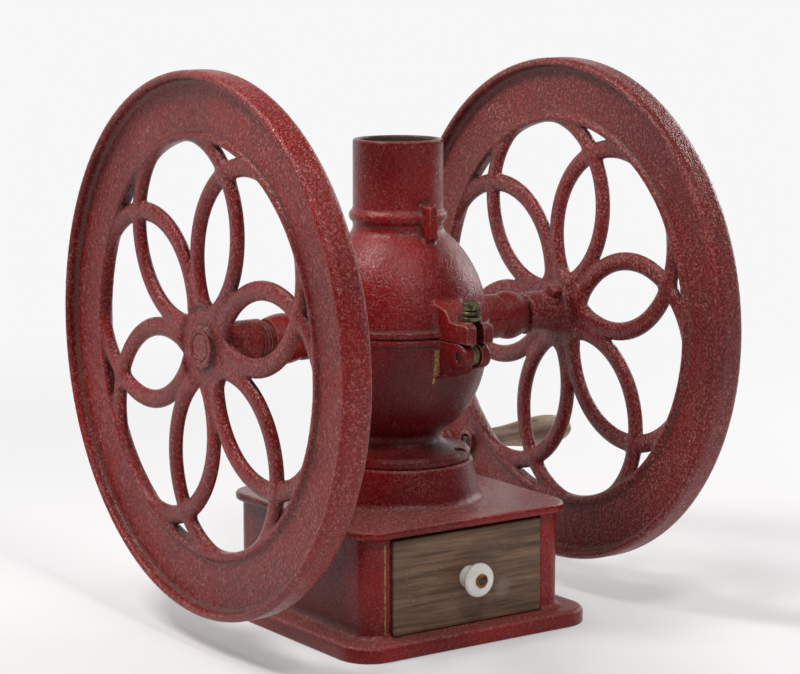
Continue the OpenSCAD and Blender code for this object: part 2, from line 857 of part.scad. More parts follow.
module flange_screws() {
    slot = 1.3;
    tip_room = 3;
    foot = base_low - flange_screw_in + tip_room;
    color("saddlebrown") shell_axis() for (i = [0:flange_screw_n - 1])
        flange_screw_place(i) difference() {
            union() {
                translate([0, 0, flange_head_z]) cylinder(r = flange_head / 2, h = flange_head_h);
                translate([0, 0, foot]) cylinder(r = flange_screw_d / 2, h = flange_head_z - foot + cut);
            }
            translate([-slot / 2, -flange_head, flange_head_z + flange_head_h - slot])
                cube([slot, 2 * flange_head, 2 * slot]);
        }
}

module hinge_pin() {
    reach = knuckle_w / 2 + side_gap + ear_w;
    color("gray") shell_axis() translate([0, hinge_y, 0]) rod_x(-reach - 1, reach + 1, hinge_pin_d / 2);
}

// Front clamp

module clamp_pin() {
    color("gray") shell_axis() translate([0, -bolt_y, pivot_z]) rod_x(-lug_w / 2, lug_w / 2, clamp_pin_d / 2);
}

module clamp_bolt() {
    eye_w = slot_w - 2 * side_gap;
    color("darkkhaki") shell_axis() translate([0, -bolt_y, 0]) difference() {
        union() {
            translate([0, 0, pivot_z]) rod_x(-eye_w / 2, eye_w / 2, eye_r);
            translate([0, 0, pivot_z]) cylinder(r = clamp_bolt_d / 2, h = bolt_end - 1 - pivot_z);
            translate([0, 0, bolt_end - 1])
                cylinder(r1 = clamp_bolt_d / 2, r2 = clamp_bolt_d / 2 - 1, h = 1);
        }
        translate([0, 0, pivot_z]) rod_x(-eye_w, eye_w, clamp_pin_d / 2 + run_fit);
    }
}

module clamp_washer() {
    color("tan") shell_axis() translate([0, -bolt_y, washer_z]) difference() {
        cylinder(r = washer_d / 2, h = washer_t);
        translate([0, 0, -1]) cylinder(r = clamp_bolt_d / 2 + run_fit, h = washer_t + 2);
    }
}

module clamp_nut() {
    foot_r = nut_af / 2 - 0.8;
    color("darkkhaki") shell_axis() translate([0, -bolt_y, nut_z]) difference() {
        union() {
            cylinder(r = foot_r - 1.5, h = nut_foot_h);
            translate([0, 0, nut_foot_h / 2]) cylinder(r = foot_r, h = nut_foot_h / 2 - 0.5);
            translate([0, 0, nut_foot_h]) cylinder(r = nut_af / sqrt(3), h = nut_h, $fn = 6);
        }
        translate([0, 0, -1]) cylinder(r = clamp_bolt_d / 2 + run_fit, h = nut_foot_h + nut_h + 2);
    }
}

// Axle, wheels and bearings

module axle() {
    x0 = left_x - hub_face;
    x1 = right_x + hub_face;
    color("dimgray") shell_axis() difference() {
        union() {
            rod_x(x0 + 1, x1 - 1, axle_r);
            along_x(x0) cylinder(r1 = axle_r - 1, r2 = axle_r, h = 1);
            along_x(x1 - 1) cylinder(r1 = axle_r, r2 = axle_r - 1, h = 1);
        }
        translate([drive_pin_x, 0, -axle_r - 1]) cylinder(r = drive_pin_d / 2, h = axle_d + 2);
    }
}

// Section of the rim: radius against distance from the wheel's middle
module rim_outline() {
    half = rim_w / 2;
    web = rim_web_t / 2;
    bead = inner_bead_t / 2;
    band_r = wheel_r - rim_band;
    side = [
        [rim_in_r, bead - 3], [rim_in_r + 1, bead - 0.8], [rim_in_r + 3, bead], [rim_in_r + 5.5, bead],
        [rim_in_r + 8, web], [band_r - 3, web], [band_r - 0.8, web + 1], [band_r, web + 3.5],
        [band_r, half - 2.5], [band_r + 1, half - 0.7], [band_r + 2.6, half], [wheel_r - 2.2, half - 0.8],
        [wheel_r - 0.6, half - 3], [wheel_r, half - 6]
    ];
    last = len(side) - 1;
    polygon(concat(side, [for (i = [last:-1:0]) [side[i][0], -side[i][1]]]));
}

// Section of a spoke bar, flattened, with slanting edges
module bar_outline() {
    a = bar_w / 2;
    b = bar_t / 2;
    polygon([
        [-a, -b / 3], [-a / 2, -b], [a / 2, -b], [a, -b / 3],
        [a, b / 3], [a / 2, b], [-a / 2, b], [-a, b / 3]
    ]);
}

// A wheel about the X axis, its middle at x = 0 and its hub towards +X or -X
module wheel(phase, hub_len, hub_dir, screw_at, x_set) {
    difference() {
        union() {
            rotate([0, 90, 0]) rotate_extrude() rim_outline();
            difference() {
                intersection() {
                    spider(phase);
                    rod_x(-rim_w, rim_w, rim_in_r + 6);
                }
                rotate([0, 0, hub_dir > 0 ? 180 : 0])
                    rod_x(bar_t / 2 - dish_depth, rim_w, hub_d / 2 + dish_w);
            }
            rod_x(hub_dir > 0 ? -hub_face : -hub_len, hub_dir > 0 ? hub_len : hub_face, hub_d / 2);
            translate([x_set, 0, 0]) rotate([screw_at, 0, 0])
                cylinder(r = set_d / 2 + set_boss, h = hub_d / 2 + set_boss_up);
        }
        rod_x(-hub_len - rim_w, hub_len + rim_w, axle_r + run_fit);
        translate([x_set, 0, 0]) rotate([screw_at, 0, 0]) cylinder(r = set_d / 2, h = hub_d);
    }
}

// The rings of bar and the web around the hub
module spider(phase) {
    for (i = [0:ring_count - 1])
        rotate([-phase - i * 360 / ring_count, 0, 0])
            translate([0, -ring_centre, 0]) rotate([0, 90, 0])
                rotate_extrude() translate([ring_r, 0]) bar_outline();
    rod_x(-bar_t / 2 + 0.3, bar_t / 2 - 0.3, hub_d / 2 + hub_web);
    for (i = [0:ring_count - 1])
        rotate([-phase - 30 - (i + 0.5) * 360 / ring_count, 0, 0]) gusset();
}

// Web that fills the fork where two rings part
module gusset() {
    fork = ring_centre * cos(60);
    inner = [fork - 16, 12];
    middle = [fork + 10, 6];
    outer = [fork + 31, 8.5];
    notch = 2;
    rotate([90, 0, -90]) translate([0, 0, -bar_t / 2 + 0.5]) linear_extrude(bar_t - 1) polygon([
        [inner[0], -inner[1]], [middle[0], -middle[1]], [outer[0], -outer[1]],
        [outer[0] - notch, 0], outer, middle, inner
    ]);
}

// Left wheel, whose hub ends in a socket around the sleeve, cut back at its front
module left_wheel() {
    reach = 2 * hub_d;
    color("maroon") shell_axis() translate([left_x, 0, 0]) difference() {
        wheel(ring_phase, hub_len_left, 1, left_screw_turn, set_x_left);
        rod_x(hub_len_left - hub_cut - side_gap, hub_len_left + cut, bush_r + side_gap);
        translate([hub_len_left, 0, 0]) rotate([0, 0, -atan(hub_cut / (hub_d / 2))])
            translate([0, -reach, -reach / 2]) cube([reach, 2 * reach, reach]);
    }
}

// Right wheel, with a pad for the handle and a ring around the nut behind it
module right_wheel() {
    web = rim_web_t / 2;
    color("maroon") shell_axis() translate([right_x, 0, 0]) difference() {
        union() {
            wheel(ring_phase + right_turn, hub_len_right, -1, right_screw_turn, -set_x_right);
            translate([0, handle_y, handle_z - axle_h])
                rod_x(-web - nut_ring_h, web + handle_pad, nut_ring_r);
        }
        translate([0, handle_y, handle_z - axle_h]) {
            rod_x(-rim_w, rim_w, handle_pin_d / 2 - 1);
            rod_x(-rim_w, -web, handle_nut_w / sqrt(2) + side_gap);
        }
    }
}

module set_screw(x, turn) {
    color("firebrick") shell_axis() translate([x, 0, 0]) rotate([turn, 0, 0]) {
        translate([0, 0, axle_r + run_fit])
            cylinder(r = set_d / 2, h = hub_d / 2 + set_boss_up + 0.2 - axle_r);
        translate([-set_head / 2, -set_head / 2, hub_d / 2 + set_boss_up])
            cube([set_head, set_head, set_head_h]);
    }
}

module left_set_screw() {
    set_screw(left_x + set_x_left, left_screw_turn);
}

module right_set_screw() {
    set_screw(right_x - set_x_right, right_screw_turn);
}

module adjusting_sleeve() {
    pitch = (thread_len + hub_cut) / (thread_n + 0.5);
    color("sienna") shell_axis() difference() {
        rod_x(-sleeve_out, -bush_in, bush_r);
        for (i = [0:thread_n - 1])
            along_x(-sleeve_out + pitch * (i + 0.6)) difference() {
                cylinder(r = bush_r + 1, h = pitch * 0.45);
                translate([0, 0, -1]) cylinder(r = bush_r - thread_depth, h = pitch + 2);
            }
        rod_x(-sleeve_out - 1, 0, axle_r + run_fit);
    }
}

module right_bush() {
    color("darkgoldenrod") shell_axis() difference() {
        rod_x(bush_in, right_collar_x + collar_w, bush_r);
        rod_x(0, right_hub_in, axle_r + run_fit);
    }
}

// Barrel-shaped ring from x = 0 to its width
module collar(wide) {
    steps = 8;
    crown = [
        for (i = [0:steps])
            let (t = i / steps)
            [collar_end_d / 2 + (collar_d - collar_end_d) / 2 * sin(180 * t), wide * t]
    ];
    inner = bush_r + run_fit;
    along_x() rotate_extrude() polygon(concat([[inner, 0]], crown, [[inner, wide]]));
}

module left_collar() {
    color("firebrick") shell_axis() translate([-left_collar_x, 0, 0]) collar(lock_ring_w);
}

module right_collar() {
    color("firebrick") shell_axis() translate([right_collar_x, 0, 0]) collar(collar_w);
}

// Grinding parts

module feed_screw() {
    flight = 6;
    pitch = 24;
    start = feed_end - feed_len;
    run = feed_len - 2;
    color("slategray") shell_axis() difference() {
        union() {
            rod_x(start, feed_end, feed_core_d / 2);
            along_x(start + 1) linear_extrude(run, twist = -360 * run / pitch, slices = 66)
                translate([-flight / 2, 0]) square([flight, feed_d / 2 - 0.5]);
        }
        rod_x(start - 1, feed_end + 1, axle_r + run_fit);
    }
}

module burr_grooves(x) {
    slant = 20;
    for (i = [0:groove_n - 1])
        translate([x, 0, 0]) rotate([i * 360 / groove_n, 0, 0]) translate([0, burr_eye_d / 2 + 3, 0])
            rotate([slant, 0, 0]) translate([0, 0, -groove_w / 2])
                cube([groove_depth + 1, burr_d / 2, groove_w]);
}

module fixed_burr() {
    color("darkslategray") shell_axis() difference() {
        rod_x(burr_x, burr_x + burr_t, burr_d / 2);
        rod_x(burr_x - 1, burr_x + burr_t + 1, burr_eye_d / 2);
        burr_grooves(burr_x + burr_t - groove_depth);
        burr_screw_holes();
        for (i = [0:burr_screw_n - 1])
            burr_screw_place(i) rod_x(burr_x + 4, burr_x + burr_t + 1, burr_screw_d / 2 + 2.5);
    }
}

module burr_screws() {
    color("gray") shell_axis() for (i = [0:burr_screw_n - 1])
        burr_screw_place(i) union() {
            rod_x(web_x + 1, burr_x + 5, burr_screw_d / 2);
            rod_x(burr_x + 4, burr_x + 6.5, burr_screw_d / 2 + 2);
        }
}

module rotating_burr() {
    color("darkslategray") shell_axis() difference() {
        union() {
            rod_x(rotor_x, rotor_x + burr_t, burr_d / 2);
            rod_x(rotor_x + burr_t - 1, rotor_hub_end, burr_hub_d / 2);
        }
        rod_x(rotor_x - 1, rotor_hub_end + 1, axle_r + run_fit);
        translate([-1, 0, 0]) burr_grooves(rotor_x);
        translate([drive_pin_x, 0, -burr_hub_d]) cylinder(r = drive_pin_d / 2, h = 2 * burr_hub_d);
    }
}

module drive_pin() {
    reach = burr_hub_d / 2 - 0.5;
    color("silver") shell_axis() translate([drive_pin_x, 0, -reach])
        cylinder(r = drive_pin_d / 2, h = 2 * reach);
}

module thrust_washer() {
    color("goldenrod") shell_axis() difference() {
        rod_x(bush_in - thrust_t - side_gap / 2, bush_in - side_gap / 2, bush_r + 2);
        rod_x(0, bush_in + 1, axle_r + run_fit);
    }
}

// Crank handle

module handle_axis() {
    translate([0, handle_y, handle_z]) children();
}

module handle_pin() {
    color("gray") handle_axis() union() {
        rod_x(handle_bolt_in, handle_seat, handle_pin_d / 2 - 1);
        rod_x(handle_seat, handle_head_x, handle_pin_d / 2);
        rod_x(handle_head_x, handle_head_x + handle_head_t, handle_head_r);
    }
}

// Square nut on the pin, in its ring behind the rim's web
module handle_nut() {
    side = handle_nut_w;
    color("gray") handle_axis() difference() {
        translate([handle_nut_in - handle_nut_t, -side / 2, -side / 2]) cube([handle_nut_t, side, side]);
        rod_x(handle_bolt_in - cut, handle_nut_in + cut, handle_pin_d / 2 - 1 + run_fit);
    }
}

module handle_washer() {
    color("dimgray") handle_axis() difference() {
        rod_x(handle_seat, handle_seat + handle_washer_t, handle_washer_d / 2);
        rod_x(handle_seat - 1, handle_in + 1, handle_pin_d / 2 + run_fit);
    }
}

// Wooden handle: slim at the wheel, fullest past its middle, with a round end
module wooden_handle() {
    neck = handle_neck_d / 2;
    full = handle_d / 2;
    slim = 0.06;
    peak = 0.7;
    end_turn = 66;
    steps = 8;
    swell = [
        for (i = [0:steps])
            let (t = i / steps)
            [neck + (full - neck) * (1 - cos(180 * t)) / 2, handle_len * (slim + (peak - slim) * t)]
    ];
    end = [
        for (i = [1:steps])
            let (t = end_turn * i / steps)
            [full * cos(t), handle_len * (peak + (1 - peak) * sin(t) / sin(end_turn))]
    ];
    color("tan") handle_axis() difference() {
        along_x(handle_in) rotate_extrude()
            polygon(concat([[0, 0], [neck - 1, 0], [neck, 1.5]], swell, end, [[0, handle_len]]));
        rod_x(handle_in - 1, handle_in + handle_len + 1, handle_pin_d / 2 + run_fit);
        rod_x(handle_head_x - side_gap, handle_in + handle_len + 1, handle_head_r + side_gap);
    }
}

// Drawer

module drawer_front() {
    color("saddlebrown") difference() {
        translate([-front_w / 2, front_y, drawer_z]) cube([front_w, front_t, front_h]);
        translate([0, front_y - 1, knob_z]) rotate([-90, 0, 0])
            cylinder(r = knob_screw_d / 2, h = front_t + 2);
    }
}

module drawer_side(s) {
    x0 = s > 0 ? side_x - side_t : -side_x;
    color("peru") difference() {
        translate([x0, side_y, drawer_z]) cube([side_t, drawer_len, side_h]);
        nails();
    }
}

module drawer_left_side() {
    drawer_side(-1);
}

module drawer_right_side() {
    drawer_side(1);
}

module drawer_back() {
    color("peru") difference() {
        translate([-drawer_inner / 2, back_y - side_t, drawer_z + bottom_t + 1])
            cube([drawer_inner, side_t, side_h - bottom_t - 1]);
        nails();
    }
}

module drawer_bottom() {
    color("burlywood") translate([-drawer_inner / 2, side_y, drawer_z + 1])
        cube([drawer_inner, drawer_len, bottom_t]);
}

// Nails: through each side into the back, two a side
module nails() {
    for (s = [-1, 1], z = [0.3, 0.75])
        translate([s * side_x, back_y - side_t / 2, drawer_z + side_h * z]) rotate([0, -90 * s, 0])
            cylinder(r = nail_d / 2, h = side_t * 2);
}

module drawer_nails() {
    color("dimgray") nails();
}

module drawer_knob() {
    foot = knob_foot_d / 2;
    full = knob_d / 2;
    waist = foot - 1.5;
    steps = 6;
    face = [
        for (i = [0:steps])
            let (t = 90 * i / steps)
            [full - 2.5 + 2.5 * cos(t), knob_len - 4 + 3.5 * sin(t)]
    ];
    color("ivory") translate([0, front_y, knob_z]) rotate([90, 0, 0]) difference() {
        rotate_extrude() polygon(concat(
            [[0, 0], [foot, 0], [foot, 2], [waist, 6], [waist + 1, 9], [full - 1, knob_len - 6]],
            face, [[6, knob_len], [0, knob_len]]
        ));
        translate([0, 0, -1]) cylinder(r = knob_screw_d / 2, h = knob_len + 2);
    }
}

module knob_washer() {
    color("gold") translate([0, front_y - knob_len, knob_z]) rotate([90, 0, 0]) difference() {
        cylinder(r = knob_washer_d / 2, h = knob_washer_t);
        translate([0, 0, -1]) cylinder(r = knob_screw_d / 2, h = 3);
    }
}

module knob_screw() {
    head_r = knob_washer_d / 2 - 2;
    color("sienna") translate([0, front_y - knob_len, knob_z]) rotate([90, 0, 0]) union() {
        translate([0, 0, -knob_len - front_t + 4])
            cylinder(r = knob_screw_d / 2, h = knob_len + front_t - 4 + knob_washer_t);
        translate([0, 0, knob_washer_t]) cylinder(r1 = head_r, r2 = head_r - 1.6, h = 1.8);
    }
}

base_box();
top_plate();
top_plate_screws();
pedestal();
lower_shell();
bowl_wall();
upper_shell();
flange_screws();
hinge_pin();
clamp_pin();
clamp_bolt();
clamp_washer();
clamp_nut();
axle();
left_wheel();
right_wheel();
left_set_screw();
right_set_screw();
adjusting_sleeve();
right_bush();
left_collar();
right_collar();
feed_screw();
fixed_burr();
burr_screws();
rotating_burr();
drive_pin();
thrust_washer();
handle_pin();
handle_nut();
handle_washer();
wooden_handle();
drawer_front();
drawer_left_side();
drawer_right_side();
drawer_back();
drawer_bottom();
drawer_nails();
drawer_knob();
knob_washer();
knob_screw();
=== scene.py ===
"""Double-wheel counter coffee mill: cast pieces, finishes, studio and camera."""

import json
import math

import bpy
import numpy as np
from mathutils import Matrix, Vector


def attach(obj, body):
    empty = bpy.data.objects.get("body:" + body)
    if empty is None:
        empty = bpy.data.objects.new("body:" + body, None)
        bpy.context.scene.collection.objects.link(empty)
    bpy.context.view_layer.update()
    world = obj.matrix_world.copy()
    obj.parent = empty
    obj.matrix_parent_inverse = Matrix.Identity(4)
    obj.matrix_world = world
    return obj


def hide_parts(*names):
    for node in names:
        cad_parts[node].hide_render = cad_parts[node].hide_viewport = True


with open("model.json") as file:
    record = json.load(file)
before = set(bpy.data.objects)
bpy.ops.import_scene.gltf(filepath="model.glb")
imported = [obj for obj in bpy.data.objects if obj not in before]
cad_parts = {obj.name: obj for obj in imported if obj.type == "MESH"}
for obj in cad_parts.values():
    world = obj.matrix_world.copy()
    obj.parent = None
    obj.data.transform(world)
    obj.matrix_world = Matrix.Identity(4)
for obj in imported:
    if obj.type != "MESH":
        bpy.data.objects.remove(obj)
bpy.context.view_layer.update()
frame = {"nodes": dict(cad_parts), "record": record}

# Sizes are in millimetres in the CAD frame, and pieces are built in metres
MM = 0.001
AXLE_H = 243.0
WHEEL_R = 216.0
RIM_IN_R = 162.0
RING_R = 76.5
RING_CENTRE = 95.0
LEFT_PHASE = math.radians(46.6)
RIGHT_PHASE = math.radians(44.2)
BAR_W = 15.4
BAR_T = 9.6
HUB_R = 18.0
AXLE_R = 11.1
LEFT_X = -183.1
RIGHT_X = 172.5
LEFT_HUB_IN = -132.4
RIGHT_HUB_IN = 128.0
HUB_FACE = 5.4
DISH_R = 30.0
DISH_AT = 3.2
HANDLE_Y = 129.17
HANDLE_Z = 106.4
BULB_R = 74.3
DOME_H = 92.0
BOWL_H = 92.0
BOWL_N = 2.4
SHELL_T = 6.0
NECK_R = 37.0
THROAT_R = 32.0
NECK_TOP = 155.0
WAIST_R = 34.4
DRUM_TOP = 134.0
FLANGE_R = 60.0
FLANGE_T = 9.0
FLARE_H = 12.0
BOLT_Y = -101.6
HINGE_Y = 88.0
RING_COUNT = 6
SET_BOSS_R = 8.0
BORE_R = 15.25
BORE_IN = 52.0
SLOT_R = 3.6
SEAM_GAP = 0.1
SNOUT_R = 18.8
SNOUT_LEFT = -97.0
SNOUT_RIGHT = 100.5
LUG_HALF = 13.0
PIVOT_H = -10.6
DROP_R = 27.0
FLANGE_SCREWS = 3
FLANGE_SCREW_R = 53.0
FLANGE_SCREW_AT = -53.0
FLANGE_HEAD_R = 4.2
FLANGE_HEAD_T = 3.0
FLANGE_HEAD_H = DRUM_TOP + FLANGE_T - AXLE_H - 4.5
SCREW_HOLE_LOW = 120.0
BOX_SCREW = 84.7
LEFT_SLEEVE_OUT = -141.4
SOCKET_X = -141.8
SOCKET_R = 15.6
THREAD_LEN = 14.0
THREAD_N = 4
LEFT_RING_X = -127.4
LEFT_RING_W = 30.0
RIGHT_RING_X = 100.9
RIGHT_RING_W = 22.5
LEFT_SCREW = (-160.6, -110.0)
RIGHT_SCREW = (151.5, 38.0)
SEAM_R = 74.8
SEAM_OUT_R = 76.6
FRONT_Y = -99.5
KNOB_Z = 52.25
HANDLE_IN = 187.9
HANDLE_LEN = 95.0
HANDLE_NECK_R = 8.75
HANDLE_FULL_R = 14.25
HANDLE_SLIM = 0.06
HANDLE_PEAK = 0.7
HANDLE_END = math.radians(66.0)
WASHER_H = 17.7
NUT_H = 20.75
UPPER_LUG = [(60, -10), (114, -10), (114, 12.9), (111.5, 15.4), (91.5, 15.4), (84, 24.4), (60, 31.4)]
LOWER_LUG = [(60, 6), (76.3, 6), (78.3, -0.4), (101.6, -0.4), (101.6, -20.8), (94.6, -20.8), (83.6, -28.8), (60, -32.8)]
NECK_RIB = [(30, 103), (51, 103), (51, 78), (44, 71), (30, 71)]
EAR_WEB = [(62.3, 0), (88, 0), (88, -8.5), (65.3, -20.5)]


# Distance fields

def hypot(a, b):
    return np.sqrt(a * a + b * b)


def blend_union(a, b, k):
    """Union of two fields with a fillet about k wide."""
    h = np.maximum(k - np.abs(a - b), 0.0) / k
    return np.minimum(a, b) - h * h * k * 0.25


def blend_cut(a, b, k):
    """Field a without field b, its edge rounded about k wide."""
    return -blend_union(-a, b, k)


def polygon_field(u, v, points):
    """Signed distance to a closed polygon in the plane of u and v."""
    pts = np.array(points, dtype=np.float64)
    best = np.full(u.shape, 1e9)
    inside = np.zeros(u.shape, dtype=bool)
    for (ax, ay), (bx, by) in zip(pts, np.roll(pts, -1, axis=0)):
        ex, ey = bx - ax, by - ay
        wx, wy = u - ax, v - ay
        length = ex * ex + ey * ey
        if length < 1e-12:
            continue
        t = np.clip((wx * ex + wy * ey) / length, 0.0, 1.0)
        dx, dy = wx - ex * t, wy - ey * t
        best = np.minimum(best, dx * dx + dy * dy)
        cross = (ay > v) != (by > v)
        if abs(ey) > 1e-12:
            inside ^= cross & (u < ex * (v - ay) / ey + ax)
    return np.where(inside, -1.0, 1.0) * np.sqrt(best)


def box_field(a, b, half_a, half_b, r=0.0):
    """Rounded rectangle around the origin of two coordinates."""
    qa = np.abs(a) - half_a + r
    qb = np.abs(b) - half_b + r
    return hypot(np.maximum(qa, 0.0), np.maximum(qb, 0.0)) + np.minimum(np.maximum(qa, qb), 0.0) - r


def plate_field(flat, height, half_h, r):
    """A flat outline given thickness, its edges rounded by r."""
    qa = flat + r
    qb = np.abs(height) - half_h + r
    return hypot(np.maximum(qa, 0.0), np.maximum(qb, 0.0)) + np.minimum(np.maximum(qa, qb), 0.0) - r


def rod_field(radial, along, r, low, high, edge):
    """A round bar between low and high with rounded ends."""
    middle = 0.5 * (low + high)
    return plate_field(radial - r, along - middle, 0.5 * (high - low), edge)


def oval_field(a, b, half_a, half_b):
    """Distance to an ellipse, good close to its edge."""
    k0 = hypot(a / half_a, b / half_b)
    k1 = hypot(a / (half_a * half_a), b / (half_b * half_b)) + 1e-9
    return k0 * (k0 - 1.0) / k1


def curve(a, b, n, t0, t1, steps):
    """Points of a quarter superellipse between two angles."""
    ts = np.radians(np.linspace(t0, t1, steps + 1))
    return [(a * math.cos(t) ** (2 / n), b * max(math.sin(t), 0.0) ** (2 / n)) for t in ts]


def curve_angle(b, n, h):
    return math.degrees(math.asin((h / b) ** (n / 2)))


def bulge_field(a, b, half_a, half_b, n):
    """Distance to a superellipse with exponent n, good close to its edge."""
    u = np.abs(a) / half_a + 1e-6
    v = np.abs(b) / half_b + 1e-6
    k = (u ** n + v ** n) ** (1.0 / n)
    steep = k ** (1.0 - n) * hypot(u ** (n - 1.0) / half_a, v ** (n - 1.0) / half_b)
    return (k - 1.0) / np.maximum(steep, 1e-4)


def block_field(x, y, z, half, r):
    """A box around the origin with rounded edges."""
    return plate_field(box_field(x, y, half[0], half[1], r), z, half[2], r)


def all_of(*fields):
    """Intersection of fields, with sharp edges."""
    total = fields[0]
    for f in fields[1:]:
        total = np.maximum(total, f)
    return total


def turned(y, z, degrees):
    """How far a point lies along, and across, a radius turned about the axle from straight up."""
    c, s = math.cos(math.radians(degrees)), math.sin(math.radians(degrees))
    return -s * y + c * z, c * y + s * z


# Meshes from fields

def sample(field, low, high, cell):
    """Field values on a grid, worked out finely only near the surface."""
    block = 4
    counts = [int(math.ceil((h - l) / (cell * block))) * block for l, h in zip(low, high)]
    axes = [l + cell * (np.arange(n) + 0.5) for l, n in zip(low, counts)]
    mids = [a.reshape(-1, block).mean(axis=1) for a in axes]
    cx, cy, cz = np.meshgrid(*mids, indexing="ij")
    coarse = field(cx, cy, cz)
    reach = cell * block * 1.2
    full = coarse.repeat(block, 0).repeat(block, 1).repeat(block, 2)
    near = np.argwhere(np.abs(full) < reach)
    x, y, z = (axes[i][near[:, i]] for i in range(3))
    full[near[:, 0], near[:, 1], near[:, 2]] = field(x, y, z)
    return full, axes


def net(values, axes, cell):
    """Surface net of the zero level: points and quads."""
    inside = values < 0.0
    cells = tuple(n - 1 for n in values.shape)
    total = np.zeros(cells + (3,))
    count = np.zeros(cells)
    for axis in range(3):
        others = [i for i in range(3) if i != axis]
        for da in (0, 1):
            for db in (0, 1):
                first = [slice(0, n) for n in cells]
                first[others[0]] = slice(da, da + cells[others[0]])
                first[others[1]] = slice(db, db + cells[others[1]])
                second = list(first)
                second[axis] = slice(1, 1 + cells[axis])
                va, vb = values[tuple(first)], values[tuple(second)]
                split = inside[tuple(first)] != inside[tuple(second)]
                t = np.where(split, va / np.where(split, va - vb, 1.0), 0.0)
                total[..., axis] += np.where(split, t, 0.0)
                total[..., others[0]] += np.where(split, float(da), 0.0)
                total[..., others[1]] += np.where(split, float(db), 0.0)
                count += split
    active = count > 0
    index = np.full(cells, -1, dtype=np.int64)
    index[active] = np.arange(int(active.sum()))
    where = np.argwhere(active)
    origin = np.array([a[0] for a in axes])
    points = origin + cell * (where + total[active] / count[active][:, None])
    quads = []
    for axis in range(3):
        o1, o2 = [(1, 2), (2, 0), (0, 1)][axis]
        low = [slice(1, n) for n in cells]
        low[axis] = slice(0, cells[axis])
        up = list(low)
        up[axis] = slice(1, 1 + cells[axis])
        a, b = inside[tuple(low)], inside[tuple(up)]
        for begins_inside in (True, False):
            hits = np.argwhere((a != b) & (a == begins_inside))
            hits[:, o1] += 1
            hits[:, o2] += 1
            corners = []
            for s1, s2 in ((1, 1), (0, 1), (0, 0), (1, 0)):
                c = hits.copy()
                c[:, o1] -= s1
                c[:, o2] -= s2
                corners.append(index[c[:, 0], c[:, 1], c[:, 2]])
            quad = np.stack(corners, axis=1)
            quads.append(quad if begins_inside else quad[:, ::-1])
    return points, np.concatenate(quads)


def slope(field, p, step):
    """Gradient of the field at points p."""
    parts = []
    for axis in range(3):
        d = np.zeros(3)
        d[axis] = step
        parts.append((field(*(p + d).T) - field(*(p - d).T)) / (2 * step))
    return np.stack(parts, axis=1)


def bend(field, p, step):
    """Curvature of the surface at points p: above zero on ridges."""
    total = -6.0 * field(*p.T)
    for axis in range(3):
        d = np.zeros(3)
        d[axis] = step
        total += field(*(p + d).T) + field(*(p - d).T)
    return total / step


def add_mesh(name, points, faces, smooth=True):
    mesh = bpy.data.meshes.new(name)
    mesh.from_pydata(np.asarray(points).tolist(), [], np.asarray(faces).tolist())
    mesh.validate()
    if smooth:
        mesh.polygons.foreach_set("use_smooth", [True] * len(mesh.polygons))
    obj = bpy.data.objects.new(name, mesh)
    bpy.context.scene.collection.objects.link(obj)
    return obj


def cast(name, field, low, high, cell, material, slot_name, *nodes):
    """One cast piece: a mesh of the field that stands for one or more CAD nodes."""
    values, axes = sample(field, low, high, cell)
    points, quads = net(values, axes, cell)
    for _ in range(3):
        d = field(*points.T)
        g = slope(field, points, 0.15)
        size = np.maximum((g * g).sum(axis=1), 0.2)
        points = points - g * np.clip(d / size, -cell, cell)[:, None]
    ridge = np.clip(bend(field, points, 2.0), -2.0, 2.0)
    g = slope(field, points, 0.15)
    n = g / np.maximum(np.linalg.norm(g, axis=1), 1e-6)[:, None]
    # open_air: how much clear space lies off each point; the enamel paints shade where it is low
    open_air = np.zeros(len(points))
    for far in (4.0, 10.0, 22.0):
        open_air += np.clip(field(*(points + n * far).T) / far, 0.0, 1.0)
    obj = add_mesh(name, points * MM, quads)
    for label, data in (("ridge", ridge), ("open_air", open_air / 3.0)):
        layer = obj.data.attributes.new(label, "FLOAT", "POINT")
        layer.data.foreach_set("value", data.astype(np.float32))
    obj.data.materials.append(material)
    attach(obj, body_of(nodes[0]))
    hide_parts(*nodes)
    return obj


# Materials

def tone(r, g, b):
    """A colour given as it looks on a screen, 0 to 255, as linear light."""
    linear = []
    for v in (r, g, b):
        v = v / 255.0
        linear.append(v / 12.92 if v <= 0.04045 else ((v + 0.055) / 1.055) ** 2.4)
    return (*linear, 1.0)


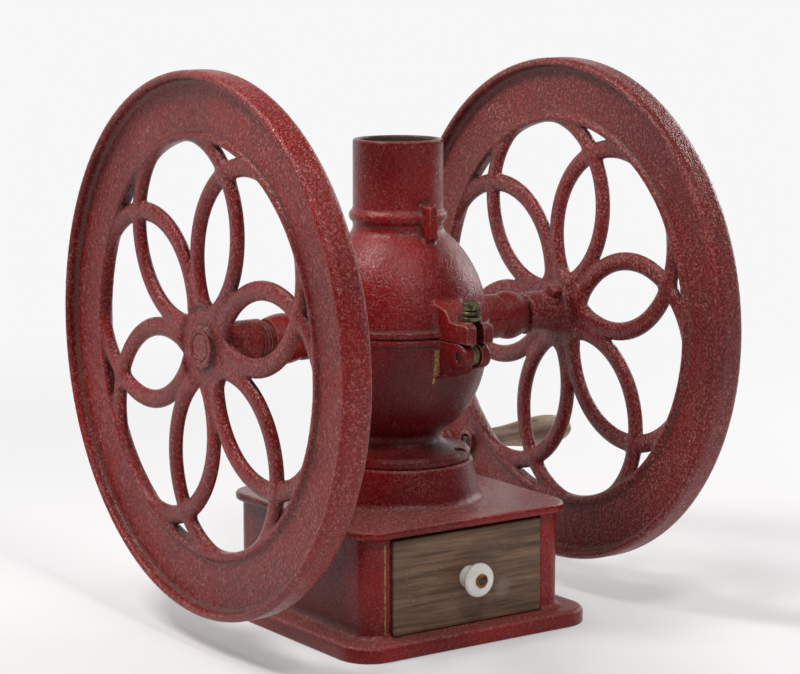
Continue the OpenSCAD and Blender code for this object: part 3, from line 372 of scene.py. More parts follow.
class Finish:
    """A node material under construction."""

    def __init__(self, name):
        self.material = bpy.data.materials.new(name)
        self.material.use_nodes = True
        self.tree = self.material.node_tree
        self.tree.nodes.clear()
        self.output = self.tree.nodes.new("ShaderNodeOutputMaterial")
        self.shader = self.tree.nodes.new("ShaderNodeBsdfPrincipled")
        self.join(self.shader.outputs["BSDF"], self.output.inputs["Surface"])
        self.coords = self.tree.nodes.new("ShaderNodeTexCoord")
        self.place = self.coords.outputs["Object"]

    def join(self, out, into):
        self.tree.links.new(out, into)

    def feed(self, socket, value):
        """A socket takes a plain value or another node's output."""
        if isinstance(value, bpy.types.NodeSocket):
            self.join(value, socket)
        else:
            socket.default_value = value

    def set(self, label, value):
        self.feed(self.shader.inputs[label], value)

    def stretch(self, scale, turn=(0.0, 0.0, 0.0)):
        node = self.tree.nodes.new("ShaderNodeMapping")
        self.join(self.place, node.inputs["Vector"])
        node.inputs["Scale"].default_value = scale
        node.inputs["Rotation"].default_value = turn
        return node.outputs["Vector"]

    def noise(self, scale, detail=2.0, rough=0.5, bend_by=0.0, vector=None):
        node = self.tree.nodes.new("ShaderNodeTexNoise")
        self.join(vector or self.place, node.inputs["Vector"])
        node.inputs["Scale"].default_value = scale
        node.inputs["Detail"].default_value = detail
        node.inputs["Roughness"].default_value = rough
        node.inputs["Distortion"].default_value = bend_by
        return node.outputs["Fac"]

    def cells(self, scale, vector=None, smooth=0.6):
        node = self.tree.nodes.new("ShaderNodeTexVoronoi")
        node.feature = "SMOOTH_F1"
        self.join(vector or self.place, node.inputs["Vector"])
        node.inputs["Scale"].default_value = scale
        node.inputs["Smoothness"].default_value = smooth
        return node.outputs["Distance"]

    def math(self, kind, a, b=0.0, clamp=False):
        node = self.tree.nodes.new("ShaderNodeMath")
        node.operation = kind
        node.use_clamp = clamp
        self.feed(node.inputs[0], a)
        self.feed(node.inputs[1], b)
        return node.outputs["Value"]

    def ramp(self, value, low, high, out_low=0.0, out_high=1.0):
        """The value from low to high, eased, as out_low to out_high."""
        node = self.tree.nodes.new("ShaderNodeMapRange")
        node.interpolation_type = "SMOOTHSTEP"
        self.feed(node.inputs["Value"], value)
        node.inputs["From Min"].default_value = low
        node.inputs["From Max"].default_value = high
        node.inputs["To Min"].default_value = out_low
        node.inputs["To Max"].default_value = out_high
        return node.outputs["Result"]

    def mix(self, share, a, b):
        node = self.tree.nodes.new("ShaderNodeMix")
        node.data_type = "RGBA"
        self.feed(node.inputs["Factor"], share)
        self.feed(node.inputs[6], a)
        self.feed(node.inputs[7], b)
        return node.outputs[2]

    def attribute(self, name):
        node = self.tree.nodes.new("ShaderNodeAttribute")
        node.attribute_name = name
        return node.outputs["Fac"]

    def axes(self, vector=None):
        node = self.tree.nodes.new("ShaderNodeSeparateXYZ")
        self.join(vector or self.place, node.inputs[0])
        return node.outputs

    def bump(self, height, depth, normal=None):
        """Relief of the given depth in metres."""
        node = self.tree.nodes.new("ShaderNodeBump")
        node.inputs["Strength"].default_value = 1.0
        node.inputs["Distance"].default_value = depth
        self.join(height, node.inputs["Height"])
        if normal is not None:
            self.join(normal, node.inputs["Normal"])
        self.join(node.outputs["Normal"], self.shader.inputs["Normal"])
        return node.outputs["Normal"]


def cast_grain(f, scale, depth):
    """Wrinkled skin of a sand casting under thick paint. Gives its height, about 0 to 1."""
    wrinkle = f.noise(scale, 2.0, 0.55, 0.6)
    fine = f.noise(scale * 2.3, 1.0, 0.5)
    swell = f.noise(scale * 0.16, 2.0, 0.5)
    height = f.math("ADD", f.math("MULTIPLY", wrinkle, 1.5), f.math("MULTIPLY", fine, 0.35))
    f.bump(f.math("ADD", height, f.math("MULTIPLY", swell, 1.2)), depth)
    return f.math("ADD", f.math("MULTIPLY", wrinkle, 0.75), f.math("MULTIPLY", fine, 0.25))


def faces_up(f):
    """How far the surface looks up, 0 to 1, in the piece's own frame."""
    split = f.tree.nodes.new("ShaderNodeSeparateXYZ")
    f.join(f.coords.outputs["Normal"], split.inputs[0])
    return f.ramp(split.outputs[2], 0.3, 0.95)


def band(f, value, low, high, ease):
    """1 between low and high, and 0 past them."""
    return f.math("MULTIPLY", f.ramp(value, low - ease, low), f.ramp(value, high, high + ease, 1.0, 0.0))


def worn_line(f, middle, half, low, high, front, back):
    """A thin upright stroke of old yellow paint on a front face, broken by wear."""
    x, y, z = f.axes()[:3]
    line = band(f, x, middle - half, middle + half, 0.0004)
    line = f.math("MULTIPLY", line, band(f, z, low, high, 0.001))
    line = f.math("MULTIPLY", line, band(f, y, front, back, 0.0005))
    return f.math("MULTIPLY", line, f.ramp(f.noise(620.0, 2.0, 0.6), 0.38, 0.56))


def throat(f):
    """1 inside the neck, and 0 on the outside of the shell."""
    x, y, z = f.axes()[:3]
    out = f.math("SQRT", f.math("ADD", f.math("MULTIPLY", x, x), f.math("MULTIPLY", y, y)))
    inside = f.ramp(out, 0.0328, 0.0345, 1.0, 0.0)
    return f.math("MULTIPLY", inside, f.ramp(z, 0.30, 0.31))


# tip and speck set the share of painted highlight flecks on the grain; the share for faces that look up mixes settled
# dust with a painted sheen.
def enamel(name, grain=560.0, depth=0.00045, dust=0.25, settled_dust_and_sheen=0.15, tip=0.5, speck=0.08,
           red_low=(88, 2, 6), red_high=(140, 4, 9), line=None, open_neck=False):
    """Old red enamel on cast iron: deep red where it is rubbed clean, and brown with dust elsewhere. Its colour also
    holds painted shade in hollows and creases, painted highlight flecks on the grain and a painted sheen on faces that
    look up.
    """
    f = Finish(name)
    grit = cast_grain(f, grain, depth)
    broad = f.noise(7.0, 2.0, 0.5, 0.0)
    patch = f.noise(44.0, 5.0, 0.62, 0.5, f.stretch((1.0, 1.0, 0.75)))
    ridge = f.attribute("ridge")
    open_air = f.attribute("open_air")
    red = f.mix(f.ramp(broad, 0.36, 0.64), tone(*red_low), tone(*red_high))
    # Painted shade: the red darkens to a deep red where little open space lies off the surface.
    shaded = f.ramp(open_air, 0.25, 0.85, 1.0, 0.0)
    red = f.mix(f.math("MULTIPLY", shaded, 0.8), red, tone(52, 4, 7))
    film = f.ramp(f.math("ADD", patch, f.math("MULTIPLY", broad, 0.6)), 0.64, 0.98, 0.05, 1.0)
    film = f.math("MULTIPLY", film, dust)
    colour = f.mix(f.math("MULTIPLY", film, 0.8), red, tone(104, 38, 36))
    # Painted shade: the hollows of the grain are darkened in the colour.
    pits = f.ramp(grit, 0.47, 0.37, 0.0, 0.4)
    colour = f.mix(pits, colour, tone(44, 8, 9))
    # Painted highlight: light flecks on the grain's tips, stronger where the dust film lies.
    tips = f.ramp(grit, 0.50, 0.64)
    glint = f.math("MULTIPLY", tips, f.math("ADD", f.math("MULTIPLY", film, tip), speck), clamp=True)
    colour = f.mix(glint, colour, tone(196, 120, 112))
    # Faces that look up turn lighter: partly settled dust, partly a painted sheen of the bright room above.
    up_dust_and_sheen = f.math("MULTIPLY", faces_up(f), f.ramp(tips, 0.0, 1.0, 0.35 * settled_dust_and_sheen, settled_dust_and_sheen))
    colour = f.mix(up_dust_and_sheen, colour, tone(184, 128, 121))
    rubbed = f.math("ADD", ridge, f.math("MULTIPLY", f.math("SUBTRACT", patch, 0.5), 3.0))
    rubbed = f.math("ADD", rubbed, f.math("MULTIPLY", f.math("SUBTRACT", grit, 0.5), 1.6))
    rubbed = f.ramp(rubbed, 0.9, 1.5, 0.0, 0.6)
    colour = f.mix(rubbed, colour, tone(146, 94, 84))
    # Hollows and creases: light dust in the shallow ones, and painted shade, a near black-brown, in the tightest
    # creases.
    dust_and_crease_shade = f.math("MULTIPLY", f.ramp(ridge, -0.12, -0.6), f.ramp(patch, 0.36, 0.6, 0.4, 0.85))
    colour = f.mix(dust_and_crease_shade, colour, f.mix(f.ramp(ridge, -0.6, -1.3), tone(98, 64, 55), tone(38, 20, 17)))
    if line is not None:
        colour = f.mix(f.math("MULTIPLY", worn_line(f, *line), 0.85), colour, tone(176, 142, 84))
    if open_neck:
        colour = f.mix(f.math("MULTIPLY", throat(f), 0.92), colour, tone(74, 66, 54))
    f.set("Base Color", colour)
    f.set("Roughness", f.ramp(f.math("ADD", film, dust_and_crease_shade), 0.0, 0.9, 0.22, 0.36))
    f.set("Specular IOR Level", 0.3)
    return f.material


def axle_finish():
    """Steel in the bearings, and paint on the two ends that show in the hubs."""
    f = Finish("axle_finish")
    x = f.axes()[0]
    painted = f.ramp(f.math("ABSOLUTE", x), 0.1752, 0.1756)
    grit = cast_grain(f, 560.0, 0.0005)
    # Painted highlight: light flecks on the paint's grain tips.
    red = f.mix(f.ramp(grit, 0.5, 0.64, 0.05, 0.45), tone(112, 6, 12), tone(190, 138, 130))
    steel = f.mix(f.noise(140.0, 4.0, 0.65, 0.5), tone(96, 84, 72), tone(48, 38, 32))
    f.set("Base Color", f.mix(painted, steel, red))
    f.set("Metallic", f.math("SUBTRACT", 0.8, f.math("MULTIPLY", painted, 0.8)))
    f.set("Roughness", 0.42)
    f.set("Specular IOR Level", 0.3)
    return f.material


def bare_metal(name, light, dark, metallic, rough):
    """Old bare steel, mottled and pitted."""
    f = Finish(name)
    mottle = f.noise(140.0, 4.0, 0.65, 0.5)
    pits = f.noise(900.0, 2.0, 0.6)
    colour = f.mix(f.ramp(mottle, 0.38, 0.64), dark, light)
    colour = f.mix(f.ramp(pits, 0.58, 0.72, 0.0, 0.6), colour, dark)
    f.set("Base Color", colour)
    f.set("Metallic", metallic)
    f.set("Roughness", f.ramp(mottle, 0.3, 0.7, rough + 0.15, rough - 0.08))
    f.bump(f.math("ADD", mottle, f.math("MULTIPLY", pits, 0.6)), 0.00012)
    return f.material


def drawer_wood():
    """Dark aged wood, grain along X and rising a little."""
    f = Finish("drawer_wood")
    lie = f.stretch((11.0, 90.0, 210.0), (0.0, math.radians(3.0), 0.0))
    wave = f.noise(1.0, 6.0, 0.68, 0.5, lie)
    fibre = f.noise(1.0, 2.0, 0.7, 0.1, f.stretch((38.0, 500.0, 1100.0), (0.0, math.radians(3.0), 0.0)))
    stain = f.noise(22.0, 3.0, 0.55)
    speck = f.noise(420.0, 1.0, 0.5)
    colour = f.mix(f.ramp(wave, 0.32, 0.68), tone(84, 60, 45), tone(136, 104, 80))
    colour = f.mix(f.ramp(fibre, 0.46, 0.30, 0.0, 0.6), colour, tone(28, 20, 15))
    colour = f.mix(f.ramp(stain, 0.5, 0.72, 0.0, 0.5), colour, tone(86, 62, 44))
    colour = f.mix(f.ramp(speck, 0.74, 0.78, 0.0, 0.8), colour, tone(190, 172, 140))
    x, _, z = f.axes()[:3]
    away = f.math("POWER", f.math("DIVIDE", f.math("SUBTRACT", x, 0.034), 0.009), 2.0)
    up = f.math("POWER", f.math("DIVIDE", f.math("SUBTRACT", z, 0.0385), 0.010), 2.0)
    smudge = f.ramp(f.math("ADD", away, f.math("ADD", up, f.math("MULTIPLY", stain, 1.2))), 0.5, 1.9, 0.38, 0.0)
    colour = f.mix(smudge, colour, tone(156, 148, 138))
    f.set("Base Color", colour)
    f.set("Roughness", f.ramp(wave, 0.3, 0.7, 0.62, 0.48))
    f.bump(f.math("ADD", f.math("MULTIPLY", wave, 0.6), fibre), 0.00022)
    return f.material


def handle_wood():
    """Worn bare wood, grey and beige, grain along X."""
    f = Finish("handle_wood")
    lie = f.stretch((10.0, 110.0, 110.0))
    grain = f.noise(1.0, 5.0, 0.6, 0.6, lie)
    fibre = f.noise(1.0, 2.0, 0.7, 0.0, f.stretch((60.0, 900.0, 900.0)))
    stain = f.noise(45.0, 3.0, 0.6)
    speck = f.noise(520.0, 1.0, 0.5)
    colour = f.mix(f.ramp(grain, 0.34, 0.68), tone(122, 96, 78), tone(190, 164, 144))
    colour = f.mix(f.ramp(fibre, 0.42, 0.28, 0.0, 0.5), colour, tone(84, 64, 50))
    colour = f.mix(f.ramp(stain, 0.54, 0.76, 0.0, 0.6), colour, tone(104, 78, 60))
    colour = f.mix(f.ramp(speck, 0.70, 0.76, 0.0, 0.7), colour, tone(66, 52, 42))
    f.set("Base Color", colour)
    f.set("Roughness", 0.6)
    f.bump(f.math("ADD", grain, fibre), 0.00018)
    return f.material


def porcelain(middle_z):
    """White glaze, stained by rust around the screw."""
    f = Finish("porcelain")
    x, _, z = f.axes()[:3]
    up = f.math("SUBTRACT", z, middle_z)
    out = f.math("SQRT", f.math("ADD", f.math("MULTIPLY", x, x), f.math("MULTIPLY", up, up)))
    ragged = f.math("ADD", out, f.math("MULTIPLY", f.noise(260.0, 3.0, 0.6), 0.0035))
    cloud = f.noise(70.0, 2.0, 0.5)
    colour = f.mix(f.ramp(cloud, 0.4, 0.7), tone(240, 238, 233), tone(229, 226, 218))
    colour = f.mix(f.ramp(ragged, 0.0092, 0.0062, 0.0, 0.85), colour, tone(176, 132, 62))
    f.set("Base Color", colour)
    f.set("Roughness", 0.09)
    f.set("Coat Weight", 0.5)
    f.set("Coat Roughness", 0.04)
    f.set("Subsurface Weight", 0.12)
    f.set("Subsurface Scale", 0.003)
    f.bump(cloud, 0.00008)
    return f.material


# Castings

RIM_SECTION = [
    (162, -10), (162, 3.4), (163, 5.6), (164.6, 6.3), (166.6, 6.1), (168.2, 4.8), (169.5, 3.5), (206, 3.5), (208.2, 4.5),
    (209, 7), (209, 10.5), (210, 12.3), (211.6, 13), (213.8, 12.2), (215.4, 10), (216, 7), (216, -10),
]


def spider_field(y, b, a, r, phase):
    """Six interlaced rings of bar and the web around the hub."""
    bars = None
    for i in range(RING_COUNT):
        turn = phase + i * math.tau / RING_COUNT
        off = hypot(y + RING_CENTRE * math.cos(turn), b - RING_CENTRE * math.sin(turn)) - RING_R
        ring = oval_field(off, a, BAR_W / 2, BAR_T / 2)
        bars = ring if bars is None else blend_union(bars, ring, 3.0)
    bars = np.maximum(bars, r - RIM_IN_R - 5.0)
    return blend_union(bars, rod_field(r, a, HUB_R + 15.0, -4.2, 4.2, 3.0), 7.0)


def wheel_field(middle, low, high, screw, phase, out):
    """A flywheel with its rim, rings and hub; out is the sign of X on its outer face."""
    def field(x, y, z):
        a = x - middle
        b = z - AXLE_H
        r = hypot(y, b)
        wheel = polygon_field(r, np.abs(a), RIM_SECTION)
        wheel = blend_union(wheel, spider_field(y, b, a, r, phase), 3.0)
        wheel = blend_cut(wheel, np.maximum(r - DISH_R, DISH_AT - a * out), 9.0)
        seam = 0.5 * np.exp(-(b / 1.3) ** 2) * (y < 0.0)
        hub = rod_field(r - seam, x, HUB_R, low, high, 2.4)
        wheel = np.where(a * out > 0.0, blend_union(wheel, hub, 1.2), blend_union(wheel, hub, 10.0))
        lip = oval_field(r - HUB_R + 2.0, a * out - HUB_FACE, 1.7, 0.8)
        wheel = blend_union(wheel, lip, 0.8)
        along, across = turned(y, b, screw[1])
        boss = rod_field(hypot(across, x - screw[0]), along, SET_BOSS_R, 0.0, HUB_R + 3.0, 1.5)
        wheel = blend_union(wheel, boss, 4.0)
        return blend_cut(wheel, r - AXLE_R - 0.05, 1.0)
    return field


def left_wheel_field(x, y, z):
    """The left wheel, whose hub is cut back at its front around the sleeve."""
    wheel = LEFT_WHEEL(x, y, z)
    h = z - AXLE_H
    slant = 134.2 + x - 0.378 * y - 0.1 * h
    slant = np.where(hypot(y, h) < 2.0 * HUB_R, slant, -50.0)
    wheel = blend_cut(wheel, -0.93 * slant, 2.5)
    return blend_cut(wheel, np.maximum(hypot(y, h) - SOCKET_R, SOCKET_X - x), 0.8)


def right_wheel_field(x, y, z):
    """The right wheel with the handle's pad, and a ring around the nut behind it."""
    out = hypot(y - HANDLE_Y, z - HANDLE_Z)
    wheel = blend_union(RIGHT_WHEEL(x, y, z), rod_field(out, x - RIGHT_X, 10.6, -8.5, 13.0, 1.5), 4.0)
    return blend_cut(wheel, np.minimum(out - 2.55, np.maximum(out - 6.8, x - RIGHT_X + 3.5)), 0.6)


def bearing_bore(x, y, h):
    return np.maximum(hypot(y, h) - BORE_R, BORE_IN - np.abs(x))


def burr_eye(x, y, h):
    return all_of(hypot(y, h) - 25.0, 7.0 - x, x - 19.0)


def clamp_slot(x, y):
    round_end = hypot(x, y - BOLT_Y) - SLOT_R
    return np.minimum(round_end, np.maximum(np.abs(x) - SLOT_R, y - BOLT_Y))


def upper_shell_field(x, y, z):
    h = z - AXLE_H
    r = hypot(x, y)
    shell = oval_field(r, h, BULB_R, DOME_H)
    shell = blend_union(shell, rod_field(r, h, NECK_R, -30.0, NECK_TOP, 2.2), 4.0)
    shell = blend_union(shell, oval_field(r - NECK_R + 1.0, h - 92.5, 4.3, 5.0), 2.5)
    rib = plate_field(polygon_field(-y, h, NECK_RIB), x, 4.0, 0.9)
    shell = blend_union(shell, rib, 3.0)
    shell = blend_union(shell, plate_field(r - BULB_R - 1.7, h - 1.0, 5.0, 1.2), 0.9)
    shell = blend_union(shell, rod_field(hypot(y, h), x, SNOUT_R, SNOUT_LEFT, SNOUT_RIGHT, 1.0), 9.0)
    side = polygon_field(-y, h, UPPER_LUG)
    shell = blend_union(shell, plate_field(side, x, LUG_HALF, 1.6), 4.0)
    shell = blend_union(shell, rod_field(hypot(x, y - BOLT_Y), h, 8.6, -5.0, 17.4, 0.8), 2.0)
    shell = blend_union(shell, rod_field(hypot(y - HINGE_Y, h), x, 8.5, -8.0, 8.0, 0.8), 4.0)
    web = polygon_field(y, h, [(62, -8), (88, -8), (88, 8.5), (64, 18.5)])
    shell = blend_union(shell, plate_field(web, x, 8.0, 1.5), 4.0)
    inside = oval_field(r, h, BULB_R - SHELL_T, DOME_H - SHELL_T)
    inside = np.minimum(inside, rod_field(r, h, THROAT_R, -20.0, NECK_TOP + 20.0, 0.5))
    shell = blend_cut(shell, inside, 2.0)
    ramp = polygon_field(x, h, [(8, -9), (8, 50), (48, 78), (48, 71), (18, 48), (18, -9)])
    shell = blend_union(shell, np.maximum(ramp, inside - 1.0), 2.5)
    shell = blend_cut(shell, bearing_bore(x, y, h), 0.8)
    shell = blend_cut(shell, burr_eye(x, y, h), 1.0)
    shell = blend_cut(shell, clamp_slot(x, y), 1.0)
    knuckle = hypot(y - HINGE_Y, h)
    ears = all_of(knuckle - 8.9, 8.0 - np.abs(x), np.abs(x) - 18.0)
    shell = np.maximum(shell, -np.minimum(ears, knuckle - 3.55))
    shell = blend_cut(shell, all_of(SEAM_R - r, r - SEAM_OUT_R, h - 1.2), 0.5)
    return blend_cut(shell, h - SEAM_GAP, 0.9)


def lower_shell_field(x, y, z):
    h = z - AXLE_H
    r = hypot(x, y)
    shell = bulge_field(r, h, BULB_R, BOWL_H, BOWL_N)
    shell = blend_union(shell, rod_field(r, h, WAIST_R, DRUM_TOP - AXLE_H, -60.0, 1.0), 6.0)
    shell = blend_union(shell, polygon_field(r, h, flange_section()), 3.0)
    shell = blend_union(shell, plate_field(r - BULB_R - 1.7, h + 1.0, 5.0, 1.2), 0.9)
    shell = blend_union(shell, rod_field(hypot(y, h), x, SNOUT_R, SNOUT_LEFT, SNOUT_RIGHT, 1.0), 9.0)
    side = polygon_field(-y, h, LOWER_LUG)
    shell = blend_union(shell, plate_field(side, x, LUG_HALF, 1.6), 4.0)
    barrel = rod_field(hypot(y - BOLT_Y, h - PIVOT_H), x, 10.2, -LUG_HALF - 0.5, LUG_HALF + 0.5, 3.0)
    shell = blend_union(shell, barrel, 3.0)
    inside = bulge_field(r, h, BULB_R - SHELL_T, BOWL_H - SHELL_T, BOWL_N)
    inside = np.minimum(inside, rod_field(r, h, DROP_R, -140.0, -46.0, 0.5))
    shell = blend_cut(shell, inside, 1.5)
    bowl = bulge_field(r, h, BULB_R - SHELL_T + 1.0, BOWL_H - SHELL_T + 1.0, BOWL_N)
    wall = all_of(8.0 - x, x - 18.0, -h - 53.0, bowl)
    floor = polygon_field(np.abs(y), h, [(-9, -27), (23, -27), (75, -2), (75, -9), (23, -34), (-9, -34)])
    floor = all_of(floor, x - 9.0, bowl)
    shell = np.minimum(shell, np.minimum(wall, floor))
    ear = np.abs(x) - 12.9
    knuckle = hypot(y - HINGE_Y, h)
    ears = plate_field(np.minimum(knuckle - 8.5, polygon_field(y, h, EAR_WEB)), ear, 4.5, 0.8)
    shell = blend_union(shell, ears, 3.0)
    shell = blend_cut(shell, bearing_bore(x, y, h), 0.8)
    shell = blend_cut(shell, burr_eye(x, y, h), 1.0)
    open_slot = all_of(np.abs(x) - SLOT_R, y + 92.6, -h - 29.0, h - 3.0)
    shell = blend_cut(shell, open_slot, 1.0)
    shell = np.maximum(shell, -np.maximum(hypot(y - BOLT_Y, h - PIVOT_H) - 3.25, np.abs(x) - LUG_HALF))
    shell = np.maximum(shell, -np.minimum(np.maximum(knuckle - 8.9, np.abs(x) - 8.4), knuckle - 3.5))
    for i in range(FLANGE_SCREWS):
        px, py = flange_screw_place(i)
        off = hypot(x - px, y - py)
        seat = np.maximum(off - FLANGE_HEAD_R - 0.4, FLANGE_HEAD_H - h)
        hole = np.maximum(np.minimum(seat, off - 3.15), h - FLANGE_HEAD_H - 21.0)
        shell = blend_cut(shell, hole, 0.8)
    shell = blend_cut(shell, all_of(SEAM_R - r, r - SEAM_OUT_R, -h - 1.2), 0.5)
    shell = blend_cut(shell, -h - SEAM_GAP, 0.9)
    return np.maximum(shell, DRUM_TOP - AXLE_H - h)


def flange_screw_place(i):
    turn = math.radians(FLANGE_SCREW_AT + i * 360.0 / FLANGE_SCREWS)
    return FLANGE_SCREW_R * math.cos(turn), FLANGE_SCREW_R * math.sin(turn)


def flange_section():
    """Half section of the pedestal flange with its concave flare."""
    low = DRUM_TOP - AXLE_H
    top_r = FLANGE_R - 3.0
    points = [(-20.0, low), (FLANGE_R - 1.5, low), (FLANGE_R, low + 1.5), (FLANGE_R, low + FLANGE_T - 3.0)]
    for i in range(25):
        t = math.radians(90.0 * i / 24)
        points.append((top_r - (top_r - WAIST_R) * math.sin(t), low + FLANGE_T + FLARE_H * (1 - math.cos(t))))
    points.append((-20.0, low + FLANGE_T + FLARE_H))
    return points


def top_plate_field(x, y, z):
    r = hypot(x, y)
    plate = plate_field(box_field(x, y, 105.0, 105.0, 25.0), z - 97.5, 3.5, 2.6)
    foot = [(77.0 - 10.0 * math.sin(t), 111.0 - 10.0 * math.cos(t)) for t in np.linspace(0.0, math.pi / 2, 13)]
    drum = polygon_field(r, z, [(-20, 97), (77, 97), *foot, (62, 132.6), (60.6, 134), (-20, 134)])
    plate = blend_union(plate, drum, 2.0)
    hollow = polygon_field(r, z, [(-20, 80), (60, 80), (60, 101), (46, 116), (27, 124), (27, 150), (-20, 150)])
    plate = blend_cut(plate, hollow, 1.0)
    for i in range(FLANGE_SCREWS):
        px, py = flange_screw_place(i)
        plate = np.maximum(plate, -np.maximum(hypot(x - px, y - py) - 2.8, SCREW_HOLE_LOW - z))
    for sx in (-1, 1):
        for sy in (-1, 1):
            hole = np.maximum(hypot(x - sx * BOX_SCREW, y - sy * BOX_SCREW) - 3.0, z - 99.0)
            plate = np.maximum(plate, -hole)
    return plate


def base_box_field(x, y, z):
    foot = plate_field(box_field(x, y, 118.0, 118.0, 28.0), z - 1.5, 11.5, 4.2)
    foot = blend_cut(foot, z, 1.2)
    outer = plate_field(box_field(x, y, 97.5, 97.5, 14.0), z - 50.0, 44.0, 0.8)
    box = blend_union(foot, outer, 7.0)
    inner = plate_field(box_field(x, y, 91.5, 91.5, 8.0), z - 63.0, 50.0, 1.5)
    box = blend_cut(box, inner, 1.0)
    for sx in (-1, 1):
        for sy in (-1, 1):
            off = hypot(x - sx * BOX_SCREW, y - sy * BOX_SCREW)
            box = blend_union(box, np.maximum(rod_field(off, z, 8.0, 5.0, 94.0, 0.5), z - 94.0), 2.0)
    mouth = all_of(np.abs(x) - 74.0, y, 13.0 - z)
    box = blend_cut(box, mouth, 1.4)
    for sx in (-1, 1):
        for sy in (-1, 1):
            off = hypot(x - sx * BOX_SCREW, y - sy * BOX_SCREW)
            hole = np.minimum(off - 3.4, np.maximum(off - 5.9, z - 8.0))
            box = blend_cut(box, hole, 0.5)
    return box


def collar_field(start, width):
    """A barrel-shaped ring along X."""
    section = [(BORE_R, 0.0)]
    for i in range(25):
        t = i / 24
        section.append((17.5 + 3.0 * math.sin(math.pi * t), width * t))
    section.append((BORE_R, width))

    def field(x, y, z):
        return polygon_field(hypot(y, z - AXLE_H), x - start, section)
    return field


def sleeve_field(x, y, z):
    """The threaded adjusting sleeve: a tube with grooves near its end."""
    r = hypot(y, z - AXLE_H)
    tube = rod_field(r, x, 15.2, LEFT_SLEEVE_OUT, -60.0, 0.6)
    pitch = THREAD_LEN / (THREAD_N + 0.5)
    for i in range(THREAD_N):
        middle = LEFT_SLEEVE_OUT + pitch * (i + 0.825)
        groove = np.maximum(np.abs(x - middle) - 0.9 + (15.2 - r) * 0.35, 14.0 - r)
        tube = blend_cut(tube, groove, 0.5)
    return np.maximum(tube, AXLE_R + 0.05 - r)


def set_screw_field(screw_x, turn):
    """A square-headed screw at a place along X and a turn from straight up."""
    def field(x, y, z):
        along, across = turned(y, z - AXLE_H, turn)
        head = block_field(x - screw_x, across, along - HUB_R - 7.0, (5.25, 5.25, 4.0), 1.1)
        crown = hypot(hypot(x - screw_x, across), along - HUB_R + 5.0) - 17.2
        head = np.maximum(head, crown)
        shank = rod_field(hypot(across, x - screw_x), along, 3.5, AXLE_R, HUB_R + 4.0, 0.3)
        return np.minimum(head, shank)
    return field


def flange_screws_field(x, y, z):
    """Sunk screws with worn round heads and a slot."""
    total = None
    h = z - AXLE_H
    for i in range(FLANGE_SCREWS):
        px, py = flange_screw_place(i)
        turn = math.radians(FLANGE_SCREW_AT + i * 360.0 / FLANGE_SCREWS)
        across = (x - px) * math.cos(turn) + (y - py) * math.sin(turn)
        off = hypot(x - px, y - py)
        head = rod_field(off, h, FLANGE_HEAD_R, FLANGE_HEAD_H, FLANGE_HEAD_H + FLANGE_HEAD_T, 0.7)
        slot = np.maximum(np.abs(across) - 0.65, FLANGE_HEAD_H + FLANGE_HEAD_T - 1.3 - h)
        head = blend_cut(head, slot, 0.4)
        shank = rod_field(off, h, 2.75, FLANGE_HEAD_H - 15.0, FLANGE_HEAD_H + 1.0, 0.3)
        screw = np.minimum(head, shank)
        total = screw if total is None else np.minimum(total, screw)
    return total


def knob_field(x, y, z):
    """Porcelain knob: narrow foot, waist and a wide domed face."""
    out = hypot(x, z - KNOB_Z)
    d = FRONT_Y - y
    points = [
        (-20, 0), (9.3, 0), (9.5, 0.6), (9.3, 2.2), (8.3, 4.6), (8.0, 6.2), (8.7, 8.2), (10.6, 10.0),
        (12.9, 11.6), (13.8, 12.8), (14.0, 14.0), (13.6, 15.4), (12.2, 16.5), (9.0, 17.2), (6.0, 17.5), (-20, 17.5),
    ]
    knob = polygon_field(out, d, points)
    return np.maximum(knob, 2.0 - out)


def drawer_front_field(x, y, z):
    """The drawer's wooden front, its edges eased by wear."""
    board = block_field(x, y - FRONT_Y - 8.0, z - KNOB_Z, (73.2, 8.0, 38.85), 0.9)
    return np.maximum(board, 2.0 - hypot(x, z - KNOB_Z))


def handle_field(x, y, z):
    """The turned wooden handle."""
    out = hypot(y - HANDLE_Y, z - HANDLE_Z)
    d = x - HANDLE_IN
    swell = HANDLE_FULL_R - HANDLE_NECK_R
    points = [(-20, 0), (HANDLE_NECK_R - 1.0, 0), (HANDLE_NECK_R, 1.5)]
    for i in range(25):
        t = i / 24
        along = HANDLE_SLIM + (HANDLE_PEAK - HANDLE_SLIM) * t
        points.append((HANDLE_NECK_R + swell * (1 - math.cos(math.pi * t)) / 2, HANDLE_LEN * along))
    for i in range(1, 17):
        t = HANDLE_END * i / 16
        along = HANDLE_PEAK + (1.0 - HANDLE_PEAK) * math.sin(t) / math.sin(HANDLE_END)
        points.append((HANDLE_FULL_R * math.cos(t), HANDLE_LEN * along))
    points.append((-20, HANDLE_LEN))
    wood = polygon_field(out, d, points)
    wood = np.maximum(wood, 3.55 - out)
    return np.maximum(wood, -np.maximum(out - 5.2, HANDLE_LEN - 6.4 - d))


def nut_field(x, y, z):
    """Clamp nut: six worn flats under a low dome, on a collar and a narrow foot."""
    h = z - AXLE_H - NUT_H
    a, b = x, y - BOLT_Y
    out = hypot(a, b)
    foot = rod_field(out, h, 5.4, 0.0, 6.0, 0.3)
    collar = rod_field(out, h, 7.8, 1.7, 4.2, 0.7)
    flats = [np.abs(math.cos(k) * b + math.sin(k) * a) - 6.7 for k in (0.0, math.pi / 3, -math.pi / 3)]
    head = plate_field(all_of(*flats), h - 9.2, 4.2, 1.3)
    head = np.maximum(head, hypot(out, h - 2.2) - 11.0)
    nut = np.minimum(foot, np.minimum(collar, head))
    return np.maximum(nut, -np.maximum(out - 3.05, h - 10.5))


